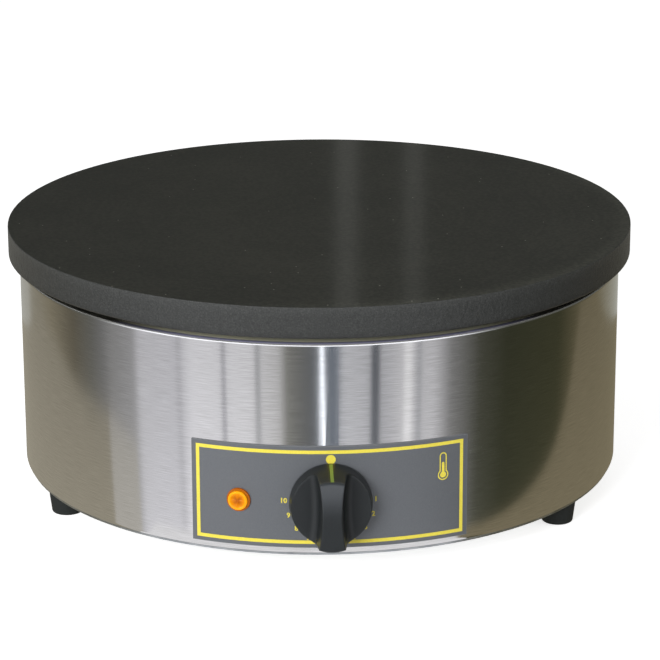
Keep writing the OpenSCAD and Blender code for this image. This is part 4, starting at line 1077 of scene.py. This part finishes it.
def flat_strip(name, section, half_length, steps):
    """A strip that lies along X, with a closed section in Z (out) and Y (up)."""
    mesh = bpy.data.meshes.new(name)
    count = len(section)
    points = [
        (-half_length + 2 * half_length * i / steps, up, out)
        for i in range(steps + 1)
        for out, up in section
    ]
    faces = [
        (i * count + j, i * count + (j + 1) % count, (i + 1) * count + (j + 1) % count, (i + 1) * count + j)
        for i in range(steps)
        for j in range(count)
    ]
    mesh.from_pydata(points, [], faces)
    return mesh


SECTION = folded_section(casing_low.z, casing_high.z)
print("section:", len(SECTION), "points")

# %% [markdown]
# The holes come last, as on the bench: one for the spindle, two for its screws, one for the
# lamp, one for the cord's gland, three for the plate's bolts and nine along the bottom fold.
# Their widths are those of the construction's holes.

# %% Holes in the drum
FOOT_RING = 0.1794
FOOT_TURNS = [-65.6, 54.4, 174.4]
BOLT_RING = 0.178
BOLT_TURNS = [60, 180, 300]
SPINDLE_HOLE, SCREW_HOLE, SCREW_OFFSET = 0.011, 0.0046, 0.014
LAMP_HOLE, GLAND_HOLE, BOLT_HOLE = 0.0104, 0.0204, 0.0086
FOOT_HOLE, BASE_HOLE = 0.0056, 0.0042
WALL_DRILL, FLANGE_DRILL = 0.02, 0.004


def round_cutter(shape, place, axis, diameter, length=WALL_DRILL):
    """Add a round cutter, centred on a place, along an axis."""
    turn = Vector(axis).to_track_quat("Z", "Y").to_matrix().to_4x4()
    bmesh.ops.create_cone(
        shape,
        cap_ends=True,
        segments=32,
        radius1=diameter / 2,
        radius2=diameter / 2,
        depth=length,
        matrix=Matrix.Translation(place) @ turn,
    )


def cut(target, cutters):
    """Take the cutters out of an object and drop them."""
    mesh = bpy.data.meshes.new("cutters")
    cutters.to_mesh(mesh)
    cutters.free()
    tool = into_scene("cutters", mesh)
    step = target.modifiers.new("cut", "BOOLEAN")
    step.operation = "DIFFERENCE"
    step.solver = "EXACT"
    step.object = tool
    name = target.name
    target.name = name + "_blank"
    made = bake_modifiers(target, name)
    bpy.data.objects.remove(tool)
    return made


def drum_holes():
    """All the drum's round holes as one set of cutters."""
    shape = bmesh.new()
    for x, width in ((0.0, SPINDLE_HOLE), (-SCREW_OFFSET, SCREW_HOLE), (SCREW_OFFSET, SCREW_HOLE)):
        round_cutter(shape, (x, -CASING_R, CONTROL_Z), (0, 1, 0), width)
    lamp_place = on_ring(CASING_R, LAMP_TURN, CONTROL_Z)
    round_cutter(shape, lamp_place, (lamp_place.x, lamp_place.y, 0), LAMP_HOLE)
    round_cutter(shape, (0, CASING_R, GLAND_Z), (0, 1, 0), GLAND_HOLE)
    for turn in BOLT_TURNS:
        round_cutter(shape, on_ring(BOLT_RING, turn, casing_high.z), (0, 0, 1), BOLT_HOLE, FLANGE_DRILL)
    for turn in FOOT_TURNS:
        for extra, width in ((0, FOOT_HOLE), (40, BASE_HOLE), (80, BASE_HOLE)):
            place = on_ring(FOOT_RING, turn + extra, casing_low.z)
            round_cutter(shape, place, (0, 0, 1), width, FLANGE_DRILL)
    return shape


print("holes:", 5 + len(BOLT_TURNS) + 3 * len(FOOT_TURNS))


# %% Roll, weld and drill the drum
def make_drum():
    """The brushed drum with its folds and holes."""
    strip = flat_strip("drum_strip", SECTION, math.pi * CASING_R, DRUM_STEPS)
    drum = rolled("drum", strip, finishes["brushed_stainless"], CASING_R)
    tidy_shell(drum.data)
    drum = cut(drum, drum_holes())
    tidy_shell(drum.data)
    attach(drum, "machine")
    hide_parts("outer_casing")
    print("drum:", len(drum.data.polygons), "faces")
    return drum


make_drum()

# %% [markdown]
# ## Prints on the panel
# Each print is drawn flat, in millimetres round the knob's axis, and rolled onto the panel.

# %% Rolling a print
PRINT_LIFT = 0.00012
yellow_ink = moulded("yellow_ink", "dac944", "e2d458", 0.5, 0.8, 0.005, 0.3)


def roll_print(name, flat_mesh, ink, lift=PRINT_LIFT):
    """Roll a flat mesh, in metres round the knob's axis, onto the panel."""
    made = rolled(name, flat_mesh, ink, FACE_R, CONTROL_Z, lift)
    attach(made, "machine")
    print(name, len(made.data.polygons), "faces")
    return made


# %% Flat shapes
def mesh_from_bmesh(name, shape):
    """Turn a bmesh into a mesh and free it."""
    mesh = bpy.data.meshes.new(name)
    shape.to_mesh(mesh)
    shape.free()
    return mesh


def flat_band(shape, outer, inner):
    """Fill the space between two closed outlines with as many points each."""
    a = [shape.verts.new((x * MM, y * MM, 0)) for x, y in outer]
    b = [shape.verts.new((x * MM, y * MM, 0)) for x, y in inner]
    for i in range(len(a)):
        j = (i + 1) % len(a)
        shape.faces.new((a[i], a[j], b[j], b[i]))


def flat_patch(shape, outline):
    """Fill one closed outline."""
    shape.faces.new([shape.verts.new((x * MM, y * MM, 0)) for x, y in outline])


print("a round outline has", len(ring_points((0, 0), 1)), "points")

# %% [markdown]
# ### The yellow line, the dot and the numbers
# A line frames the panel 2.5 mm inside its edge. Ten plain numbers stand round the knob from
# a quarter turn on, twenty degrees apart, and a dot at the top marks off.

# %% Frame line
BAND_STEP_MM = 4.0
LINE_SIDE_MM, LINE_INSET_MM, LINE_WIDTH_MM = 2.95, 2.5, 2.2


def box_outline(half_x, low_y, high_y, count):
    """A rectangle's outline, with points along its level sides, so that they can be rolled."""
    across = [-half_x + 2 * half_x * i / count for i in range(count + 1)]
    return [(x, low_y) for x in across] + [(x, high_y) for x in reversed(across)]


def panel_band(name, side, inset, width):
    """A flat frame along the panel's edge, in millimetres in from its sides and its top."""
    half = PANEL_HALF / MM - side
    low = (panel_low.z - CONTROL_Z) / MM + inset
    high = (panel_high.z - CONTROL_Z) / MM - inset
    count = round(2 * half / BAND_STEP_MM)
    shape = bmesh.new()
    outer = box_outline(half, low, high, count)
    flat_band(shape, outer, box_outline(half - width, low + width, high - width, count))
    return mesh_from_bmesh(name, shape)


roll_print("frame_line", panel_band("frame_line", LINE_SIDE_MM, LINE_INSET_MM, LINE_WIDTH_MM), yellow_ink)

# %% Dot and numbers
DIAL_RADIUS_MM = 27.0
DIAL_RISE_MM = 0.8
DIAL_START, DIAL_STEP = 89.0, 20.15
DOT_PLACE_MM, DOT_RADIUS_MM = 27.2, 2.9
NUMBER_HEIGHT_MM = 3.3
TWO_DIGITS_MM = 1.0
BOLD = 0.025


def text_mesh(words, height_mm):
    """A word as a flat mesh, centred on the origin, with a given height of its capitals."""
    curve = bpy.data.curves.new("word", "FONT")
    curve.body = words
    curve.resolution_u = 3
    curve.offset = BOLD
    word = into_scene("word", curve)
    graph = bpy.context.evaluated_depsgraph_get()
    mesh = bpy.data.meshes.new_from_object(word.evaluated_get(graph), depsgraph=graph)
    bpy.data.objects.remove(word)
    xs = [v.co.x for v in mesh.vertices]
    ys = [v.co.y for v in mesh.vertices]
    scale = height_mm * MM / (max(ys) - min(ys))
    centre = Vector(((max(xs) + min(xs)) / 2, (max(ys) + min(ys)) / 2, 0))
    mesh.transform(Matrix.Scale(scale, 4) @ Matrix.Translation(-centre))
    return mesh


def dial_marks(ink):
    """The off dot and the numbers 1 to 10, upright, clockwise from a quarter turn."""
    shape = bmesh.new()
    flat_patch(shape, ring_points((0, DOT_PLACE_MM), DOT_RADIUS_MM))
    for number in range(1, 11):
        turn = math.radians(DIAL_START + DIAL_STEP * (number - 1))
        word = text_mesh(str(number), NUMBER_HEIGHT_MM)
        spot = Vector((math.sin(turn), math.cos(turn), 0)) * DIAL_RADIUS_MM * MM
        spot.y += DIAL_RISE_MM * MM
        spot.x -= TWO_DIGITS_MM * MM if number > 9 else 0
        word.transform(Matrix.Translation(spot))
        shape.from_mesh(word)
        bpy.data.meshes.remove(word)
    return roll_print("dial_marks", mesh_from_bmesh("dial_marks", shape), ink)


dial_marks(yellow_ink)

# %% [markdown]
# ### The thermometer sign
# A plain thermometer stands at the panel's right: an outlined tube and bulb, with a filled
# column inside. Its outline is one curve: round top, straight sides, round bulb.

# %% Thermometer sign
SIGN_ALONG_MM, SIGN_LOW_MM, SIGN_HIGH_MM, SIGN_LINE_MM = 69.1, 8.6, 26.2, 0.7
TUBE_R_MM, BULB_R_MM = 2.3, 3.45
COLUMN_R_MM, CORE_R_MM, COLUMN_MM = 0.85, 1.95, 7.2


def thermometer_outline(tube_r, bulb_r, top_y, bulb_y):
    """Closed outline of a tube that grows out of a bulb, centred on x = 0."""
    neck = math.degrees(math.acos(tube_r / bulb_r))
    cap = ring_points((0, top_y), tube_r, 0, 180, 16)
    bulb = ring_points((0, bulb_y), bulb_r, 180 - neck, 360 + neck, 32)
    return cap + bulb


def thermometer(ink):
    """Outline, column and bulb of the sign."""
    bulb_y = SIGN_LOW_MM + BULB_R_MM
    top_y = SIGN_HIGH_MM - TUBE_R_MM
    shape = bmesh.new()
    outer = thermometer_outline(TUBE_R_MM, BULB_R_MM, top_y, bulb_y)
    inner = thermometer_outline(TUBE_R_MM - SIGN_LINE_MM, BULB_R_MM - SIGN_LINE_MM, top_y, bulb_y)
    flat_band(shape, outer, inner)
    flat_patch(shape, thermometer_outline(COLUMN_R_MM, CORE_R_MM, bulb_y + COLUMN_MM, bulb_y))
    bmesh.ops.translate(shape, verts=shape.verts, vec=(SIGN_ALONG_MM * MM, 0, 0))
    return roll_print("thermometer_sign", mesh_from_bmesh("thermometer_sign", shape), ink)


thermometer(yellow_ink)

# %% [markdown]
# ### The panel's cut edge
# The panel is aluminium sheet under a grey film, and both are cut together. The cut is bare,
# and it is drawn as a thin band a shade lighter than the film: partly the bare metal, partly a
# painted highlight along the edge.

# %% Cut edge
EDGE_IN_MM, EDGE_WIDTH_MM, EDGE_LIFT = 0.02, 0.4, 0.00006
edge_ink_and_highlight = moulded("bare_aluminium", "5c5f62", "6a6d70", 0.4, 0.5, 0.005, 0.8)
edge_band_and_highlight = panel_band("panel_edge", EDGE_IN_MM, EDGE_IN_MM, EDGE_WIDTH_MM)
roll_print("panel_edge", edge_band_and_highlight, edge_ink_and_highlight, EDGE_LIFT)

# %% [markdown]
# ## The pilot lamp's lens
# A moulding like this is a revolved profile whose middle is pressed into four lobes, so it is
# drawn on a polar grid: each ring of points gets its height from the profile, and the rings
# of the middle also from the angle.

# %% The lens's section
LENS_STEPS = 64
LENS_FLANGE_MM, LENS_BODY_R_MM, LENS_EDGE_MM, LENS_CAVITY_MM = 1.4, 6.15, 1.2, 4.5
LENS_TOP_MM, LENS_CAVITY_TOP_MM, LOBE_DEPTH_MM = 3.3, 2.0, 0.6
LENS_GAP = 0.00005


def lens_profile():
    """Radius and height of the lens's rings, from the middle of its back to its lobes' edge."""
    inner = LENS_BODY_R_MM - LENS_EDGE_MM
    edge = LENS_TOP_MM - LENS_EDGE_MM
    points = [(LENS_CAVITY_MM * 0.5, LENS_CAVITY_TOP_MM), (LENS_CAVITY_MM, LENS_CAVITY_TOP_MM)]
    points += [(LENS_CAVITY_MM, 0), (LENS_R, 0), (LENS_R, 1.0), (LENS_R - 0.1, 1.25)]
    points += [(LENS_R - 0.35, LENS_FLANGE_MM), (LENS_BODY_R_MM + 0.1, LENS_FLANGE_MM)]
    points += [(LENS_BODY_R_MM, LENS_FLANGE_MM + 0.1)]
    for i in range(9):
        turn = math.radians(90 * i / 8)
        points.append((inner + LENS_EDGE_MM * math.cos(turn), edge + LENS_EDGE_MM * math.sin(turn)))
    return points


def lobe_height(radius, turn, reach):
    """Height of the lobed middle."""
    bowl = math.sin(math.pi * min(1.0, radius / reach)) ** 0.8
    return LENS_TOP_MM - LOBE_DEPTH_MM * bowl * (0.35 + 0.65 * abs(math.sin(2 * turn)) ** 0.7)


print("lens section:", len(lens_profile()), "rings round the back and the rim")


# %% Make the lens
def make_lens():
    """The lens as one closed moulding, facing out of the panel."""
    shape = bmesh.new()
    turns = [2 * math.pi * i / LENS_STEPS for i in range(LENS_STEPS)]
    rings = [[(r, h) for _ in turns] for r, h in lens_profile()]
    reach = LENS_BODY_R_MM - LENS_EDGE_MM
    for i in range(11, 0, -1):
        radius = reach * i / 12
        rings.append([(radius, lobe_height(radius, turn, reach)) for turn in turns])
    circles = []
    for ring in rings:
        points = [Vector((r * math.sin(t), r * math.cos(t), h)) for (r, h), t in zip(ring, turns)]
        circles.append([shape.verts.new(point * MM) for point in points])
    for one, two in zip(circles, circles[1:]):
        for i in range(LENS_STEPS):
            j = (i + 1) % LENS_STEPS
            shape.faces.new((one[i], one[j], two[j], two[i]))
    for circle, height in ((circles[0], LENS_CAVITY_TOP_MM), (circles[-1], LENS_TOP_MM)):
        middle = shape.verts.new((0, 0, height * MM))
        for i in range(LENS_STEPS):
            shape.faces.new((circle[i], circle[(i + 1) % LENS_STEPS], middle))
    mesh = mesh_from_bmesh("lamp_lens", shape)
    out = on_ring(1, LAMP_TURN, 0)
    across = Vector((-out.y, out.x, 0))
    axes = Matrix((across, Vector((0, 0, 1)), out)).transposed().to_4x4()
    mesh.transform(Matrix.Translation(on_ring(FACE_R + LENS_GAP, LAMP_TURN, CONTROL_Z)) @ axes)
    tidy_shell(mesh)
    lens = into_scene("lamp_lens", mesh)
    mesh.materials.append(finishes["orange_lens"])
    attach(lens, "machine")
    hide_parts("pilot_lamp_lens")
    print("lens:", len(mesh.polygons), "faces")
    return lens


make_lens()

# %% [markdown]
# ## Screws under the machine
# Six small screws close the base and three larger ones hold the feet. They are pan heads with
# a cross recess. One screw is turned in mesh code, and a Geometry Nodes tree sets a copy on
# each place, with its cross at a random angle, as a fitter leaves them.

# %% The tree that sets a part on each place
def setting_tree():
    """Geometry Nodes: one copy of a part on each point, turned at random round its axis."""
    tree = bpy.data.node_groups.new("set_parts", "GeometryNodeTree")
    for title, kind in (
        ("Geometry", "NodeSocketGeometry"),
        ("Part", "NodeSocketObject"),
        ("Seed", "NodeSocketInt"),
        ("Metal", "NodeSocketMaterial"),
    ):
        tree.interface.new_socket(title, in_out="INPUT", socket_type=kind)
    tree.interface.new_socket("Geometry", in_out="OUTPUT", socket_type="NodeSocketGeometry")
    given = add(tree, "NodeGroupInput")
    part = add(tree, "GeometryNodeObjectInfo", {"Object": given.outputs["Part"]})
    chance = add(tree, "FunctionNodeRandomValue", {"Seed": given.outputs["Seed"]}, data_type="FLOAT")
    turn = add(tree, "ShaderNodeMath", {0: chance.outputs[1], 1: math.tau}, operation="MULTIPLY")
    about = add(tree, "ShaderNodeCombineXYZ", {"Z": turn})
    placed = add(
        tree,
        "GeometryNodeInstanceOnPoints",
        {
            "Points": given.outputs["Geometry"],
            "Instance": part.outputs["Geometry"],
            "Rotation": about,
        },
    )
    real = add(tree, "GeometryNodeRealizeInstances", {"Geometry": placed})
    inked = add(tree, "GeometryNodeSetMaterial", {"Geometry": real, "Material": given.outputs["Metal"]})
    add(tree, "NodeGroupOutput", {"Geometry": inked})
    return tree


SETTING = setting_tree()
print("setting tree:", len(SETTING.nodes), "nodes")


# %% A pan head screw
BASE_HEAD, BASE_RISE, BASE_SHANK = 0.008, 0.0024, 0.004
FOOT_HEAD, FOOT_RISE, FOOT_SHANK = 0.009, 0.003, 0.005
base_low, base_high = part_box("base_screws")
feet_low, feet_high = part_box("foot_screws")
base_seat = base_low.z + BASE_RISE
foot_seat = feet_low.z + FOOT_RISE


def revolve(shape, profile, steps=32):
    """A closed solid from radius and height pairs that start and end on the axis."""
    turns = [2 * math.pi * i / steps for i in range(steps)]
    middle = profile[1:-1]
    rings = [[shape.verts.new((r * math.cos(t), r * math.sin(t), h)) for t in turns] for r, h in middle]
    first = shape.verts.new((0, 0, profile[0][1]))
    last = shape.verts.new((0, 0, profile[-1][1]))
    for i in range(steps):
        j = (i + 1) % steps
        shape.faces.new((first, rings[0][j], rings[0][i]))
        shape.faces.new((last, rings[-1][i], rings[-1][j]))
        for one, two in zip(rings, rings[1:]):
            shape.faces.new((one[i], one[j], two[j], two[i]))


def pan_screw(name, shank, length, head, rise):
    """Head under z = 0 with a cross recess, shank above, in metres."""
    dome = [(0, -rise), (head * 0.2, -rise), (head * 0.36, -rise * 0.86), (head * 0.46, -rise * 0.6)]
    dome += [(head / 2, -rise * 0.25), (head / 2, 0), (shank / 2, 0)]
    shape = bmesh.new()
    revolve(shape, dome + [(shank / 2, length - shank * 0.15), (shank * 0.35, length), (0, length)])
    screw = into_scene(name, mesh_from_bmesh(name, shape))
    tidy_shell(screw.data)
    cross = bmesh.new()
    for width, depth in ((0.55, 0.14), (0.14, 0.55)):
        size = Matrix.Diagonal((head * width, head * depth, rise * 1.1, 1))
        bmesh.ops.create_cube(cross, size=1, matrix=Matrix.Translation((0, 0, -rise)) @ size)
    return cut(screw, cross)


base_screw = pan_screw("base_screw", BASE_SHANK, base_high.z - base_seat, BASE_HEAD, BASE_RISE)
foot_screw = pan_screw("foot_screw", FOOT_SHANK, feet_high.z - foot_seat, FOOT_HEAD, FOOT_RISE)
print("screws:", [len(screw.data.polygons) for screw in (base_screw, foot_screw)], "faces")


# %% Set the screws
def set_screws(name, node, places, screw, seed):
    """Set a screw on each place and let the lot stand for the construction's screws."""
    mesh = bpy.data.meshes.new(name + "_places")
    mesh.from_pydata(places, [], [])
    points = into_scene(name + "_places", mesh)
    setter = points.modifiers.new("set", "NODES")
    setter.node_group = SETTING
    set_inputs(setter, Part=screw, Seed=seed, Metal=finishes["zinc_plated_steel"])
    made = bake_modifiers(points, name)
    bpy.data.objects.remove(screw)
    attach(made, "machine")
    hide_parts(node)
    print(name, len(places), "screws,", len(made.data.polygons), "faces")
    return made


base_places = [on_ring(FOOT_RING, turn + extra, base_seat) for turn in FOOT_TURNS for extra in (40, 80)]
foot_places = [on_ring(FOOT_RING, turn, foot_seat) for turn in FOOT_TURNS]
set_screws("base_screw_set", "base_screws", base_places, base_screw, 3)
set_screws("foot_screw_set", "foot_screws", foot_places, foot_screw, 8)

# %% [markdown]
# ## Finish
# The view settings stay plain.

# %% Finish
bpy.context.scene.view_settings.view_transform = "Standard"
